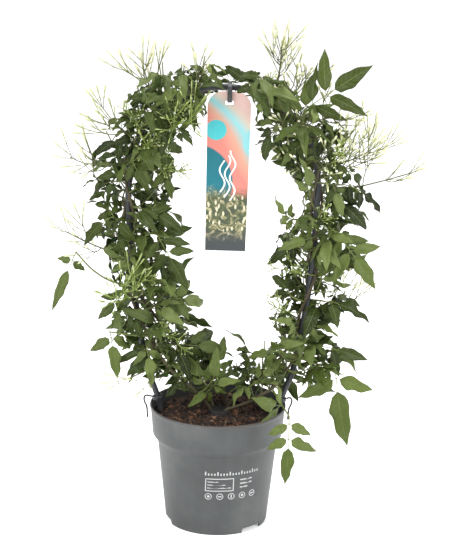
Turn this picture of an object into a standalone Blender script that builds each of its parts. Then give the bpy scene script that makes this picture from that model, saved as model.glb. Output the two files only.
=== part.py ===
# Jasmine in a plastic nursery pot, its stems twined round a hoop, with a hanging label.
#
# Sizes are in millimetres, measured from the foot of the pot's axis, with +X to
# the right, -Y towards the viewer and +Z up. new_object() turns them into
# Blender's metres. Last of all everything is moved by POT_PLACE, so that the
# origin lies on the ground under the middle of the whole plant.
#
# The plant is planned before it is modelled: every leaf and bud is offered a
# place, and takes it only if it stays clear of all that is already there.

import math
import random

import bmesh
import bpy
from mathutils import Matrix, Quaternion, Vector
from mathutils.bvhtree import BVHTree

MM = 0.001
POT_PLACE = Vector((-14.5, 8.9, 0.0))
UP = Vector((0, 0, 1))
FRONT = Vector((0, -1, 0))
GAP = 0.35

# Pot
RIM_RADIUS = 68.4
POT_HEIGHT = 122.0
COLLAR_FOOT_RADIUS = 65.4
COLLAR_FOOT_HEIGHT = 93.0
LEDGE_RADIUS = 60.4
LEDGE_HEIGHT = 86.0
BASE_RADIUS = 51.2
POT_WALL = 1.4
FLOOR_HEIGHT = 6.0
POT_SEGMENTS = 32
NOTCH_HEIGHT = 5.0
NOTCH_WIDTH = 25.0
NOTCH_ANGLES = (-45, -165, 75)
DRAIN_RADIUS = 4.0
DRAIN_RING_RADIUS = 34.0
DRAIN_COUNT = 4

# Soil
SOIL_EDGE_HEIGHT = 110.0
SOIL_CROWN = 3.0
SOIL_LUMP = 1.5
SOIL_RINGS = (0.0, 22.0, 44.0)
SOIL_SEGMENTS = 24

# Hoop: two legs that rise from the soil and open out, under a half circle
HOOP_X = 1.5
HOOP_RADIUS = 3.0
HOOP_SIDES = 6
HOOP_STEP = 18.0
ARCH_RADIUS = 92.5
ARCH_HEIGHT = 353.5
LEG = (
    (47.5, 50), (51, 76), (54, 91), (58.3, 107), (60.6, 123), (65.5, 138), (72.5, 156), (81.5, 205),
    (88.5, 260), (91.8, 315),
)

# Rim clips, each a collar on a leg with a hook over the pot's rim
CLIP_HEIGHT = 128.0
CLIP_COLLAR_LENGTH = 4.0
CLIP_COLLAR_WALL = 1.2
CLIP_WIRE_RADIUS = 0.9
CLIP_HOOK = ((72.4, 129.2), (74.4, 126.2), (73.6, 121.8), (71.6, 117), (70.8, 106))

# Label and the strap loop that hangs it from the hoop
LABEL_X = 6.5
LABEL_Y = -8.0
LABEL_TOP = 443.0
LABEL_LENGTH = 159.0
LABEL_TOP_WIDTH = 42.0
LABEL_FOOT_WIDTH = 39.5
LABEL_CORNER = 15.0
LABEL_THICKNESS = 0.8
LABEL_LEAN = math.radians(0.7)
SLOT_WIDTH = 8.0
SLOT_HEIGHT = 4.0
SLOT_DROP = 9.0
STRAP_WIDTH = 4.5
STRAP_THICKNESS = 1.0
STRAP_LOOP = (
    (-1.5, 450.1), (2.4, 449.6), (4.2, 446.5), (3.4, 442), (-1.5, 435.5), (-6, 432.9),
    (-9.5, 433.2), (-11.2, 436), (-11.2, 442), (-8.5, 446.8), (-5, 449.4),
)

# Vines: four stems from the middle of the soil, twined round the hoop
VINE_FOOT_RADIUS = 1.7
VINE_TIP_RADIUS = 1.0
VINE_SIDES = 4
VINE_STEP = 14.0
TWINE_PITCH = 120.0
TWINE_CLEARANCE = 0.75
VINES = {
    "vine_left_front": dict(
        side="left", start=205, phase=225, end_x=-9,
        free=((-5, -3, 78), (-5, -3, 100), (-8, -5, 118), (-22, -9, 137), (-45, -11, 158), (-64, -9, 182)),
    ),
    "vine_left_back": dict(
        side="left", start=235, phase=135, end_x=-9,
        free=((-2, 5, 78), (-2, 5, 100), (-6, 7, 119), (-18, 11, 145), (-40, 12, 178), (-64, 9, 210)),
    ),
    "vine_right_front": dict(
        side="right", start=165, phase=225, end_x=20,
        free=((4, -4, 78), (4, -4, 100), (8, -7, 117), (28, -10, 126), (54, -9, 142)),
    ),
    "vine_right_back": dict(
        side="right", start=195, phase=135, end_x=20,
        free=((7, 4, 78), (7, 4, 100), (11, 7, 119), (32, 11, 137), (62, 9, 168)),
    ),
}

# Space that stays free of leaves: the hole in the wreath, and round the label
KEEP_CLEAR = (
    ((4, -110, 194), (45, 110, 238)),
    ((-16, -110, 238), (45, 110, 282)),
    ((-25, -110, 282), (47, 110, 372)),
    ((-16, -110, 372), (29, -5, 436)),
)

# Leafy shoots: where each leaves its vine (x, z), where its twig ends (x, y, z),
# where the tip of its end leaf is (x, y, z), and its leaves
SHOOTS = {
    "shoot_right_crest": ((75, 407), (80, -24, 431), (143, -30, 478), 3),
    "shoot_right_inner_top": ((62, 416), (52, -14, 408), (31, -26, 378), 2),
    "shoot_right_shoulder": ((84, 398), (94, -20, 400), (118, -38, 382), 2),
    "shoot_right_spray": ((94, 362), (118, -10, 354), (166, -18, 330), 2),
    "shoot_right_star": ((94, 318), (114, -22, 306), (153, -38, 253), 3),
    "shoot_right_front": ((93, 312), (94, -26, 306), (106, -48, 268), 2),
    "shoot_right_inner": ((90, 291), (76, -10, 290), (40, -14, 276), 2),
    "shoot_right_tiny": ((89, 302), (72, -10, 318), (44, -14, 336), 2),
    "shoot_right_mid": ((92, 288), (110, -16, 298), (157, -26, 326), 2),
    "shoot_right_inner_low": ((83, 232), (70, -12, 240), (40, -16, 262), 2),
    "shoot_right_low": ((86, 228), (104, -14, 236), (156, -24, 230), 3),
    "shoot_right_lower": ((80, 188), (96, -16, 190), (150, -24, 174), 2),
    "shoot_right_arching": ((75, 160), (116, -30, 172), (125, -44, 86), 3),
    "shoot_over_rim": ((60, 132), (70, -68, 134), (66, -80, 60), 2),
    "shoot_right_back_high": ((92, 335), (98, 24, 344), (116, 66, 338), 2),
    "shoot_right_back_low": ((86, 240), (92, 24, 246), (110, 66, 240), 2),
    "shoot_left_crest": ((-55, 428), (-64, -10, 437), (-94, -18, 438), 2),
    "shoot_left_shoulder": ((-80, 388), (-94, -14, 394), (-130, -22, 390), 3),
    "shoot_left_front_high": ((-86, 372), (-86, -22, 376), (-70, -46, 350), 2),
    "shoot_left_high": ((-89, 345), (-104, -12, 352), (-138, -20, 346), 2),
    "shoot_left_hanging": ((-84, 368), (-58, -14, 366), (-42, -20, 332), 1),
    "shoot_left_outer": ((-90, 318), (-106, -14, 318), (-142, -22, 298), 3),
    "shoot_left_inner": ((-90, 326), (-72, -14, 325), (-34, -24, 304), 2),
    "shoot_left_drooping": ((-88, 300), (-62, -24, 304), (-24, -42, 252), 3),
    "shoot_left_far": ((-87, 256), (-142, -8, 280), (-170, -12, 212), 1),
    "shoot_left_mid": ((-84, 236), (-94, -16, 236), (-122, -28, 210), 2),
    "shoot_left_reaching": ((-78, 222), (-48, -14, 236), (2, -20, 232), 2),
    "shoot_left_arching": ((-75, 196), (-108, -20, 202), (-94, -42, 156), 3),
    "shoot_left_front_low": ((-73, 188), (-72, -24, 188), (-62, -46, 154), 2),
    "shoot_left_low_inner": ((-62, 176), (-34, -14, 188), (19, -22, 186), 2),
    "shoot_left_back_high": ((-90, 325), (-96, 24, 334), (-114, 66, 330), 2),
    "shoot_left_back_low": ((-80, 215), (-86, 24, 222), (-104, 66, 216), 2),
    "shoot_crown_left": ((-25, 143), (-36, -18, 156), (-52, -38, 138), 2),
    "shoot_crown_middle": ((-12, 130), (-6, -16, 146), (16, -36, 162), 2),
    "shoot_crown_right": ((22, 128), (38, -14, 150), (63, -24, 180), 2),
    "shoot_crest_left": ((-14, 446), (-12, -10, 451), (-42, -18, 452), 2),
    "shoot_crest_right": ((24, 444), (22, -10, 451), (52, -18, 450), 2),
}

# Flower sprays: where each leaves its vine (x, z), how far it reaches (x, y, z), and its buds
SPRAYS = {
    "spray_left_crest": ((-68, 420), (-14, -12, 37), 9),
    "spray_left_shoulder": ((-86, 392), (-18, -14, 18), 6),
    "spray_left_high": ((-90, 365), (-34, -12, 4), 6),
    "spray_crest": ((-8, 448), (-2, -8, 10), 4),
    "spray_right_crest": ((60, 420), (8, -24, 46), 10),
    "spray_right_high": ((92, 372), (46, -14, 20), 10),
    "spray_right_far": ((94, 350), (84, -8, 24), 6),
    "spray_left_far": ((-87, 268), (-60, -20, 28), 6),
    "spray_left_front": ((-83, 234), (-8, -38, 26), 8),
    "spray_left_inner_top": ((-56, 414), (26, -28, -4), 7),
    "spray_right_low": ((86, 216), (44, -12, 22), 4),
    "spray_left_low": ((-68, 168), (-34, -18, -14), 4),
}

# Pinnate leaf of size 1: two pairs of leaflets and one at the tip
PETIOLE = 7.0
PAIR_SPACING = 15.0
PAIR_BASE = 1.6
TIP_STALK = 5.0
RACHIS_WIDTH = 1.1
LEAF_THICKNESS = 0.7
TWO_PAIR_LENGTH = 54.0
PAIR_ANGLE = math.radians(60)
TIP_LEAFLET = (45.0, 15.0)
SIDE_LEAFLETS = ((26.0, 10.5), (29.0, 11.5))
LEAF_DROOP = (0.3, 1.0)
TIP_CURL = (0.4, 1.3)
SIDE_CURL = (0.3, 1.1)
SMALLEST_LEAF = 0.42
LEAF_TRIES = 36
LEAF_CLEARANCE = 0.45

# Shoots with leaves of their own kind: the side leaflets' length, all widths and all bends as shares
# of the usual, and the pairs of leaflets on the end leaf. They are planned first.
LEAF_KINDS = {
    "shoot_right_crest": (1.5, 1.05, 0.4, 2),
    "shoot_right_arching": (1.05, 0.9, 0.35, 1),
    "shoot_over_rim": (0.95, 0.95, 0.3, 2),
    "shoot_left_far": (0.45, 0.55, 0.3, 1),
    "shoot_left_drooping": (1.3, 1.0, 0.5, 2),
    "shoot_right_star": (1.3, 1.1, 0.5, 2),
}

# Twigs and buds
TWIG_RADIUS = 1.1
TWIG_TIP_RADIUS = 0.75
TWIG_SIDES = 4
TWIG_STEPS = 3
SPRAY_RADIUS = 0.85
SPRAY_TIP_RADIUS = 0.6
SPRAY_SIDES = 4
SPRAY_STEPS = 4
PEDICEL_RADIUS = 0.5
BUD_RADIUS = 1.35
BUD_SIDES = 3
BUD_LENGTH = (15.0, 21.0)
PEDICEL_LENGTH = (7.0, 15.0)
BUD_TRIES = 12

MATERIALS = {
    "pot_plastic": ((0.20, 0.21, 0.215), 0.5),
    "peat_soil": ((0.045, 0.024, 0.014), 0.95),
    "hoop_plastic": ((0.035, 0.038, 0.045), 0.4),
    "label_card": ((0.55, 0.42, 0.36), 0.35),
    "vine_bark": ((0.12, 0.10, 0.045), 0.75),
    "leaf_green": ((0.055, 0.115, 0.03), 0.45),
    "bud_cream": ((0.62, 0.62, 0.33), 0.5),
}


# Curves and small vector helpers

def smooth_route(points, step):
    # A Catmull-Rom curve through the points, read again at even steps.
    points = [Vector(p) for p in points]
    fine = []
    for i in range(len(points) - 1):
        p1, p2 = points[i], points[i + 1]
        p0 = points[i - 1] if i else p1 * 2 - p2
        p3 = points[i + 2] if i + 2 < len(points) else p2 * 2 - p1
        for k in range(12):
            t = k / 12
            fine.append(
                0.5 * ((2 * p1) + (p2 - p0) * t + (2 * p0 - 5 * p1 + 4 * p2 - p3) * t * t
                       + (3 * p1 - p0 - 3 * p2 + p3) * t * t * t)
            )
    fine.append(points[-1])
    return even_steps(fine, step)


def even_steps(points, step):
    lengths = [(b - a).length for a, b in zip(points, points[1:])]
    count = max(2, round(sum(lengths) / step))
    spacing = sum(lengths) / count
    route, walked, i = [points[0].copy()], 0.0, 0
    for k in range(1, count):
        goal = k * spacing
        while walked + lengths[i] < goal:
            walked += lengths[i]
            i += 1
        route.append(points[i].lerp(points[i + 1], (goal - walked) / lengths[i]))
    route.append(points[-1].copy())
    return route


def turned(vector, axis, angle):
    return Quaternion(axis, angle) @ vector


def square_to(vector, axis):
    # The part of vector that is square to the axis, one unit long.
    flat = vector - axis * vector.dot(axis)
    return flat.normalized() if flat.length > 1e-6 else axis.orthogonal().normalized()


def jitter(rng, amount):
    return Vector((rng.uniform(-1, 1), rng.uniform(-1, 1), rng.uniform(-1, 1))) * amount


# Shapes as (points, faces), in millimetres

def tube(points, radii, sides):
    # A closed tube whose rings turn as little as they can along the route.
    # One radius too few makes it end in a point.
    verts, faces = [], []
    normal = (points[1] - points[0]).normalized().orthogonal().normalized()
    for i, radius in enumerate(radii):
        ahead = points[min(i + 1, len(points) - 1)] - points[max(i - 1, 0)]
        ahead.normalize()
        normal = square_to(normal, ahead)
        across = ahead.cross(normal)
        for k in range(sides):
            a = 2 * math.pi * k / sides
            verts.append(points[i] + (normal * math.cos(a) + across * math.sin(a)) * radius)
    for i in range(len(radii) - 1):
        for k in range(sides):
            a, b = i * sides + k, i * sides + (k + 1) % sides
            faces.append((a, b, b + sides, a + sides))
    faces.append(tuple(range(sides))[::-1])
    last = (len(radii) - 1) * sides
    if len(radii) == len(points):
        faces.append(tuple(range(last, last + sides)))
        return verts, faces
    verts.append(points[-1])
    faces += [(last + k, last + (k + 1) % sides, last + sides) for k in range(sides)]
    return verts, faces


def tapered(points, start, end, sides, grow=0.0):
    steps = len(points) - 1
    return tube(points, [start + (end - start) * i / steps + grow for i in range(steps + 1)], sides)


def box_shape(low, high):
    ends = list(zip(low, high))
    verts = [Vector((x, y, z)) for x in ends[0] for y in ends[1] for z in ends[2]]
    faces = [(0, 1, 3, 2), (4, 6, 7, 5), (0, 4, 5, 1), (2, 3, 7, 6), (0, 2, 6, 4), (1, 5, 7, 3)]
    return verts, faces


def cone_shape(profile, segments):
    # An open sleeve turned round Z from (radius, height) pairs.
    verts, faces = [], []
    for radius, height in profile:
        for k in range(segments):
            a = 2 * math.pi * k / segments
            verts.append(Vector((radius * math.cos(a), radius * math.sin(a), height)))
    for i in range(len(profile) - 1):
        for k in range(segments):
            a, b = i * segments + k, i * segments + (k + 1) % segments
            faces.append((a, b, b + segments, a + segments))
    return verts, faces


def thickened(verts, triangles, thickness):
    # A thin closed solid round a surface, split into triangles alike on both faces.
    normals = [Vector() for _ in verts]
    edges = set()
    for a, b, c in triangles:
        n = (verts[b] - verts[a]).cross(verts[c] - verts[a])
        for i in (a, b, c):
            normals[i] += n
        edges |= {(a, b), (b, c), (c, a)}
    half = thickness / 2
    count = len(verts)
    solid = [v + n.normalized() * half for v, n in zip(verts, normals)]
    solid += [v - n.normalized() * half for v, n in zip(verts, normals)]
    faces = list(triangles) + [(c + count, b + count, a + count) for a, b, c in triangles]
    for a, b in sorted(edges):
        if (b, a) not in edges:
            faces += [(a + count, b + count, b), (a + count, b, a)]
    return solid, faces


# Leaves

def blade_width(t):
    # Share of the full width at t along a leaflet: widest at 0.3, with a long drawn-out tip.
    return 2.754 * math.sqrt(t) * (1 - t) ** 1.15


def blade_point(blade, t, q):
    # The point at t along the midrib and q across, from -1 to 1.
    base, along, face, length, width, curl, fold = blade
    bend = curl * t
    middle = base + along * (length * math.sin(bend) / curl) - face * (length * (1 - math.cos(bend)) / curl)
    rise = face * math.cos(bend) + along * math.sin(bend)
    half = 0.5 * width * blade_width(t)
    across = along.cross(face)
    return middle + across * (q * half * math.cos(fold)) + rise * (abs(q) * half * math.sin(fold))


def leaf_skeleton(root, along, face, size, pairs, droop, kind, rng):
    # Rows across the leaf's rib, and a blade for each leaflet with the rows that it grows from.
    side = along.cross(face)
    ends = [0]
    for pair in range(pairs):
        ends += [PETIOLE + PAIR_SPACING * pair, PETIOLE + PAIR_SPACING * pair + PAIR_BASE]
    ends.append(ends[-1] + TIP_STALK)
    total = ends[-1] * size
    rows = []
    for distance in ends:
        u = distance * size
        bend = droop * u / total
        sunk = total * (1 - math.cos(bend)) / droop
        centre = root + along * (total * math.sin(bend) / droop) - face * sunk
        ahead = along * math.cos(bend) - face * math.sin(bend)
        rows.append((centre, ahead, face * math.cos(bend) + along * math.sin(bend)))
    longer, wider, calm = kind
    blades = []
    for pair, (length, width) in enumerate(SIDE_LEAFLETS[-pairs:]):
        low, high = rows[1 + 2 * pair], rows[2 + 2 * pair]
        for hand in (1, -1):
            forward = turned(low[1], low[2], -hand * (PAIR_ANGLE + rng.uniform(-0.15, 0.15)))
            sink = rng.uniform(0.1, 0.8) * calm
            heading = forward * math.cos(sink) - low[2] * math.sin(sink)
            facing = low[2] * math.cos(sink) + forward * math.sin(sink)
            base = (low[0] + high[0]) / 2 + side * (hand * RACHIS_WIDTH / 2)
            grow = size * rng.uniform(0.85, 1.1)
            bends = (rng.uniform(*SIDE_CURL) * calm, rng.uniform(0.1, 0.4))
            blade = (base, heading, facing, length * longer * grow, width * wider * grow, *bends)
            blades.append((hand, 1 + 2 * pair, blade))
    tip = rows[-1]
    grow = size * rng.uniform(0.92, 1.08)
    bends = (rng.uniform(*TIP_CURL) * calm, rng.uniform(0.12, 0.4))
    blade = (*tip, TIP_LEAFLET[0] * grow, TIP_LEAFLET[1] * wider * grow, *bends)
    blades.append((0, len(rows) - 1, blade))
    return side, rows, blades


def leaf_surface(skeleton, first_row=0):
    # The leaf as one surface: a narrow rib with every leaflet cut to it.
    side, rows, blades = skeleton
    verts, triangles = [], []
    for centre, _, _ in rows[first_row:]:
        verts += [centre - side * (RACHIS_WIDTH / 2), centre + side * (RACHIS_WIDTH / 2)]
    for i in range(len(rows) - first_row - 1):
        a = 2 * i
        triangles += [(a, a + 1, a + 3), (a, a + 3, a + 2)]
    for hand, row, blade in blades:
        low = 2 * (row - first_row)
        start, end = {1: (low + 3, low + 1), -1: (low, low + 2), 0: (low, low + 1)}[hand]
        n = len(verts)
        if hand:
            verts += [blade_point(blade, 0.34, 1), blade_point(blade, 0.34, -1), blade_point(blade, 1, 0)]
            triangles += [(start, end, n), (start, n, n + 1), (n + 1, n, n + 2)]
            continue
        for t in (0.25, 0.62):
            verts += [blade_point(blade, t, q) for q in (-1, 0, 1)]
        verts.append(blade_point(blade, 1, 0))
        triangles += [(start, end, n + 2), (start, n + 2, n + 1), (start, n + 1, n)]
        triangles += [(n, n + 1, n + 4), (n, n + 4, n + 3), (n + 1, n + 2, n + 5), (n + 1, n + 5, n + 4)]
        triangles += [(n + 3, n + 4, n + 6), (n + 4, n + 5, n + 6)]
    return verts, triangles


# Planning: what is already there, and what still finds room

class Space:
    # Everything placed so far, as search trees with their boxes.

    def __init__(self, keep_clear):
        self.taken = []
        self.boxes = [(Vector(low), Vector(high)) for low, high in keep_clear]

    def add(self, shape, owner):
        self.taken.append((*self.extent(shape[0]), BVHTree.FromPolygons(*shape), owner))

    def extent(self, verts):
        low = Vector(min(v[i] for v in verts) for i in range(3))
        high = Vector(max(v[i] for v in verts) for i in range(3))
        return low, high

    def has_room(self, shape, besides=None):
        verts, faces = shape
        low, high = self.extent(verts)
        for box_low, box_high in self.boxes:
            if all(low[i] < box_high[i] and high[i] > box_low[i] for i in range(3)):
                box = BVHTree.FromPolygons(*box_shape(box_low, box_high))
                if BVHTree.FromPolygons(verts, faces).overlap(box):
                    return False
                if all(box_low[i] < verts[0][i] < box_high[i] for i in range(3)):
                    return False
        tree = None
        for other_low, other_high, other, owner in self.taken:
            if owner == besides or any(low[i] > other_high[i] or high[i] < other_low[i] for i in range(3)):
                continue
            tree = tree or BVHTree.FromPolygons(verts, faces)
            if tree.overlap(other):
                return False
        return True


def hoop_route():
    half = [(HOOP_X - x, 0, z) for x, z in LEG]
    for a in map(math.radians, range(0, 90, 15)):
        half.append((HOOP_X - ARCH_RADIUS * math.cos(a), 0, ARCH_HEIGHT + ARCH_RADIUS * math.sin(a)))
    other_half = [(2 * HOOP_X - x, y, z) for x, y, z in reversed(half)]
    return smooth_route([*half, (HOOP_X, 0, ARCH_HEIGHT + ARCH_RADIUS), *other_half], HOOP_STEP)


def vine_route(hoop, side, start, phase, end_x, free):
    # Free from the soil to the hoop, then wound round it as far as end_x on the crest.
    route = hoop if side == "left" else hoop[::-1]
    fine = even_steps(route, 1.0)
    centre = Vector((HOOP_X, 0, ARCH_HEIGHT - ARCH_RADIUS))
    first = next(i for i, p in enumerate(fine) if p.z > start)
    last = max(i for i, p in enumerate(fine) if (p.x - end_x) * (fine[0].x - end_x) > 0)
    twined = []
    count = round((last - first) / VINE_STEP)
    for k in range(count + 1):
        i = round(first + (last - first) * k / count)
        ahead = (fine[min(i + 6, len(fine) - 1)] - fine[max(i - 6, 0)]).normalized()
        out = square_to(fine[i] - centre, ahead)
        angle = math.radians(phase) + 2 * math.pi * (i - first) / TWINE_PITCH
        radius = VINE_FOOT_RADIUS + (VINE_TIP_RADIUS - VINE_FOOT_RADIUS) * k / count
        away = HOOP_RADIUS + radius + TWINE_CLEARANCE
        twined.append(fine[i] + (out * math.cos(angle) + Vector((0, 1, 0)) * math.sin(angle)) * away)
    return smooth_route(free, VINE_STEP)[:-1] + smooth_route([free[-1], *twined], VINE_STEP)


def vine_radius(route, i):
    return VINE_FOOT_RADIUS + (VINE_TIP_RADIUS - VINE_FOOT_RADIUS) * i / (len(route) - 1)


def branching_points(vines, hoop, near, reach):
    # Starts on the vines about (x, z), with the way out of the vine there.
    # Those that look the way of the branch come first.
    found = []
    goal = reach.normalized()
    for route in vines.values():
        for i in range(4, len(route) - 1):
            p = route[i]
            away = math.hypot(p.x - near[0], p.z - near[1])
            if away > 30:
                continue
            off = p - min(hoop, key=lambda h: (h - p).length_squared)
            twined = off.length < 4 * HOOP_RADIUS
            ahead = (route[i + 1] - route[i - 1]).normalized()
            out = square_to(goal + (off.normalized() if twined else Vector()), ahead)
            cost = away - (12 * off.normalized().dot(goal) if twined else 0)
            found.append((cost, i, p + out * (vine_radius(route, i) + GAP), out))
    return [row[2:] for row in sorted(found, key=lambda row: row[:2])]


def plan_branch(space, vines, hoop, name, near, reach, steps, radii, rng):
    # Tries the nearest starts, and ends a little apart, until a branch has room.
    starts = branching_points(vines, hoop, near, reach(Vector((near[0], 0, near[1]))))
    for attempt in range(6 * len(starts)):
        start, out = starts[attempt % len(starts)]
        route = branch_route(start, out, reach(start) + jitter(rng, attempt), steps)
        if space.has_room(tapered(route, *radii, 0.1)):
            space.add(tapered(route, *radii), name)
            return route
    return None


def branch_route(start, out, reach, steps):
    # A bow from the vine: straight out at first, then the way of the reach.
    end = start + reach
    middle = start + out * (0.3 * reach.length) + reach * 0.2
    route = []
    for k in range(steps + 1):
        t = k / steps
        route.append(start * (1 - t) ** 2 + middle * (2 * t * (1 - t)) + end * t * t)
    return route


def plan_leaf(space, owner, root, along, size, pairs, kind, rng):
    # Tries a leaf in slightly different ways, and smaller, until one has room.
    for attempt in range(LEAF_TRIES):
        shrink = 1 - 0.45 * max(0, attempt - 8) / LEAF_TRIES
        leaf_size = size * shrink
        if leaf_size < SMALLEST_LEAF:
            return None
        loosen = 0.05 + 0.7 * attempt / LEAF_TRIES
        heading = (along + jitter(rng, loosen)).normalized()
        outward = FRONT if root.y < 10 else -FRONT
        facing = UP * (rng.uniform(0.3, 0.9) * kind[2]) + outward * rng.uniform(0.25, 0.8)
        face = square_to(facing + jitter(rng, (0.3 + loosen) * kind[2]), heading)
        droop = rng.uniform(*LEAF_DROOP) * kind[2]
        raised = [turned(v, heading.cross(face), 0.6 * droop) for v in (heading, face)]
        skeleton = leaf_skeleton(root, *raised, leaf_size, pairs, droop, kind, rng)
        room = LEAF_THICKNESS + 2 * LEAF_CLEARANCE
        whole = thickened(*leaf_surface(skeleton), room)
        beyond_petiole = thickened(*leaf_surface(skeleton, 1), room)
        if space.has_room(whole, besides=owner) and space.has_room(beyond_petiole):
            space.add(thickened(*leaf_surface(skeleton, 1), LEAF_THICKNESS), owner)
            space.add(thickened(*leaf_surface(skeleton), LEAF_THICKNESS), owner + " petiole")
            return skeleton
    return None


def plan_shoot(space, vines, hoop, name, near, end, tip, leaves):
    rng = random.Random(name)
    end, tip = Vector(end), Vector(tip)
    length = (tip - end).length
    *kind, pairs = LEAF_KINDS.get(name, (1.0, 1.0, 1.0, 2 if length > TWO_PAIR_LENGTH else 1))
    size = length / (PETIOLE + PAIR_SPACING * (pairs - 1) + PAIR_BASE + TIP_STALK + TIP_LEAFLET[0])

    def reach(start):
        return end - start

    radii = (TWIG_RADIUS, TWIG_TIP_RADIUS, TWIG_SIDES)
    route = plan_branch(space, vines, hoop, name, near, reach, TWIG_STEPS, radii, rng)
    if not route:
        return None
    tip_way = (tip - route[-1]).normalized()
    sideways = square_to(UP.cross(tip_way) + jitter(rng, 0.3), tip_way)
    placed = [plan_leaf(space, name, route[-1] - tip_way * 0.8, tip_way, size, pairs, kind, rng)]
    for k in range(1, leaves):
        node = TWIG_STEPS - (k + 1) // 2
        axis = (route[node] - route[node - 1]).normalized()
        roll = (k - 1) // 2 * math.pi / 2 + rng.uniform(-0.4, 0.4)
        way = square_to(turned(sideways, tip_way, roll) * (-1) ** k, axis)
        along = (axis * 0.5 + way * 0.8 - UP * 0.15).normalized()
        root = route[node] + way * 0.3 - axis * 0.5
        placed.append(plan_leaf(space, name, root, along, min(size * 0.95, 0.85), 1, kind, rng))
    return route, [leaf for leaf in placed if leaf]


def plan_spray(space, vines, hoop, name, near, reach, buds):
    rng = random.Random(name)
    radii = (SPRAY_RADIUS, SPRAY_TIP_RADIUS, SPRAY_SIDES)

    def whole_reach(start):
        return Vector(reach)

    route = plan_branch(space, vines, hoop, name, near, whole_reach, SPRAY_STEPS, radii, rng)
    if not route:
        return None
    placed = []
    for k in range(buds):
        node = SPRAY_STEPS - (k // 3) % 3
        axis = (route[node] - route[node - 1]).normalized()
        for attempt in range(BUD_TRIES):
            around = turned(axis.orthogonal().normalized(), axis, 2.4 * k + rng.uniform(-0.5, 0.5))
            spread = rng.uniform(0.25, 0.75) + 0.1 * (SPRAY_STEPS - node)
            way = (axis * math.cos(spread) + around * math.sin(spread) + UP * 0.25).normalized()
            stalk = rng.uniform(*PEDICEL_LENGTH)
            length = rng.uniform(*BUD_LENGTH)
            bow = (way + UP * 0.12 + jitter(rng, 0.1)).normalized()
            root = route[node] - axis * (1.5 + 1.2 * (k % 3))
            points = [root, root + way * 3, root + way * stalk]
            points += [points[-1] + bow * (length * 0.7), points[-1] + bow * length]
            clear_of_others = space.has_room(bud_shape(points, 0.45), besides=name)
            if clear_of_others and space.has_room(bud_shape(points[1:], 0.45)):
                space.add(bud_shape(points[1:]), name + " bud")
                placed.append([points[0], *points[2:]])
                break
    return route, placed


def bud_shape(points, grow=0.0):
    radii = [PEDICEL_RADIUS + grow] * (len(points) - 2) + [BUD_RADIUS + grow]
    tip = points[-1] + (points[-1] - points[-2]).normalized() * grow
    return tube([*points[:-1], tip], radii, BUD_SIDES)


def pot_and_soil_guide():
    # A little larger than the pot and the soil, which are not modelled yet when the leaves are placed.
    soil_height = SOIL_EDGE_HEIGHT + SOIL_LUMP
    profile = [
        (BASE_RADIUS + 0.8, 0), (LEDGE_RADIUS + 0.8, LEDGE_HEIGHT),
        (COLLAR_FOOT_RADIUS + 0.8, COLLAR_FOOT_HEIGHT - 4),
        (RIM_RADIUS + 0.8, POT_HEIGHT + 0.8), (RIM_RADIUS - 2.8, POT_HEIGHT + 0.8),
        (RIM_RADIUS - 2.8, soil_height), (1, soil_height + SOIL_CROWN),
    ]
    return cone_shape(profile, 32)


def plan_plant():
    hoop = hoop_route()
    vines = {name: vine_route(hoop, **facts) for name, facts in VINES.items()}
    space = Space(KEEP_CLEAR)
    space.add(pot_and_soil_guide(), "pot and soil")
    space.add(tapered(hoop, HOOP_RADIUS, HOOP_RADIUS, HOOP_SIDES), "hoop")
    for name, route in vines.items():
        space.add(tapered(route, VINE_FOOT_RADIUS, VINE_TIP_RADIUS, VINE_SIDES), name)
    half = LABEL_TOP_WIDTH / 2 + 1.5
    space.add(box_shape((LABEL_X - half, LABEL_Y - 2, LABEL_TOP - LABEL_LENGTH - 1),
                        (LABEL_X + half, LABEL_Y + 2, LABEL_TOP + 1)), "label")
    space.add(box_shape((LABEL_X - 3, -12.5, 430), (LABEL_X + 3, 5.5, 451.5)), "strap")
    for hand in (1, -1):
        hook = [Vector((hand * x, 0, z)) for x, z in CLIP_HOOK]
        space.add(tapered(hook, CLIP_WIRE_RADIUS + 0.5, CLIP_WIRE_RADIUS + 0.5, 6), "clip")
        low, high = (hand * 65 - 6.5, -5.5, CLIP_HEIGHT - 5), (hand * 65 + 6.5, 5.5, CLIP_HEIGHT + 5)
        space.add(box_shape(low, high), "clip")
    largest = {name: plan_shoot(space, vines, hoop, name, *SHOOTS[name]) for name in LEAF_KINDS}
    sprays = {name: plan_spray(space, vines, hoop, name, *row) for name, row in SPRAYS.items()}
    shoots = {name: largest.get(name) or plan_shoot(space, vines, hoop, name, *row)
              for name, row in SHOOTS.items()}
    return hoop, vines, sprays, shoots


# Blender objects

def material(name):
    found = bpy.data.materials.get(name)
    if found:
        return found
    colour, roughness = MATERIALS[name]
    made = bpy.data.materials.new(name)
    made.use_nodes = True
    shader = made.node_tree.nodes["Principled BSDF"]
    shader.inputs["Base Color"].default_value = (*colour, 1)
    shader.inputs["Roughness"].default_value = roughness
    shader.inputs["Metallic"].default_value = 0.0
    return made


def new_object(name, shape, material_name=None):
    verts, faces = shape
    mesh = bpy.data.meshes.new(name)
    mesh.from_pydata([Vector(v) * MM for v in verts], [], faces)
    return linked(name, mesh, material_name)


def linked(name, mesh, material_name=None):
    made = bpy.data.objects.new(name, mesh)
    bpy.context.scene.collection.objects.link(made)
    if material_name:
        mesh.materials.append(material(material_name))
    return made


def from_bmesh(name, bm, material_name=None):
    bmesh.ops.recalc_face_normals(bm, faces=bm.faces)
    mesh = bpy.data.meshes.new(name)
    bm.to_mesh(mesh)
    bm.free()
    return linked(name, mesh, material_name)


def apply_modifiers(made):
    graph = bpy.context.evaluated_depsgraph_get()
    mesh = bpy.data.meshes.new_from_object(made.evaluated_get(graph))
    made.modifiers.clear()
    made.data = mesh


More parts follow.
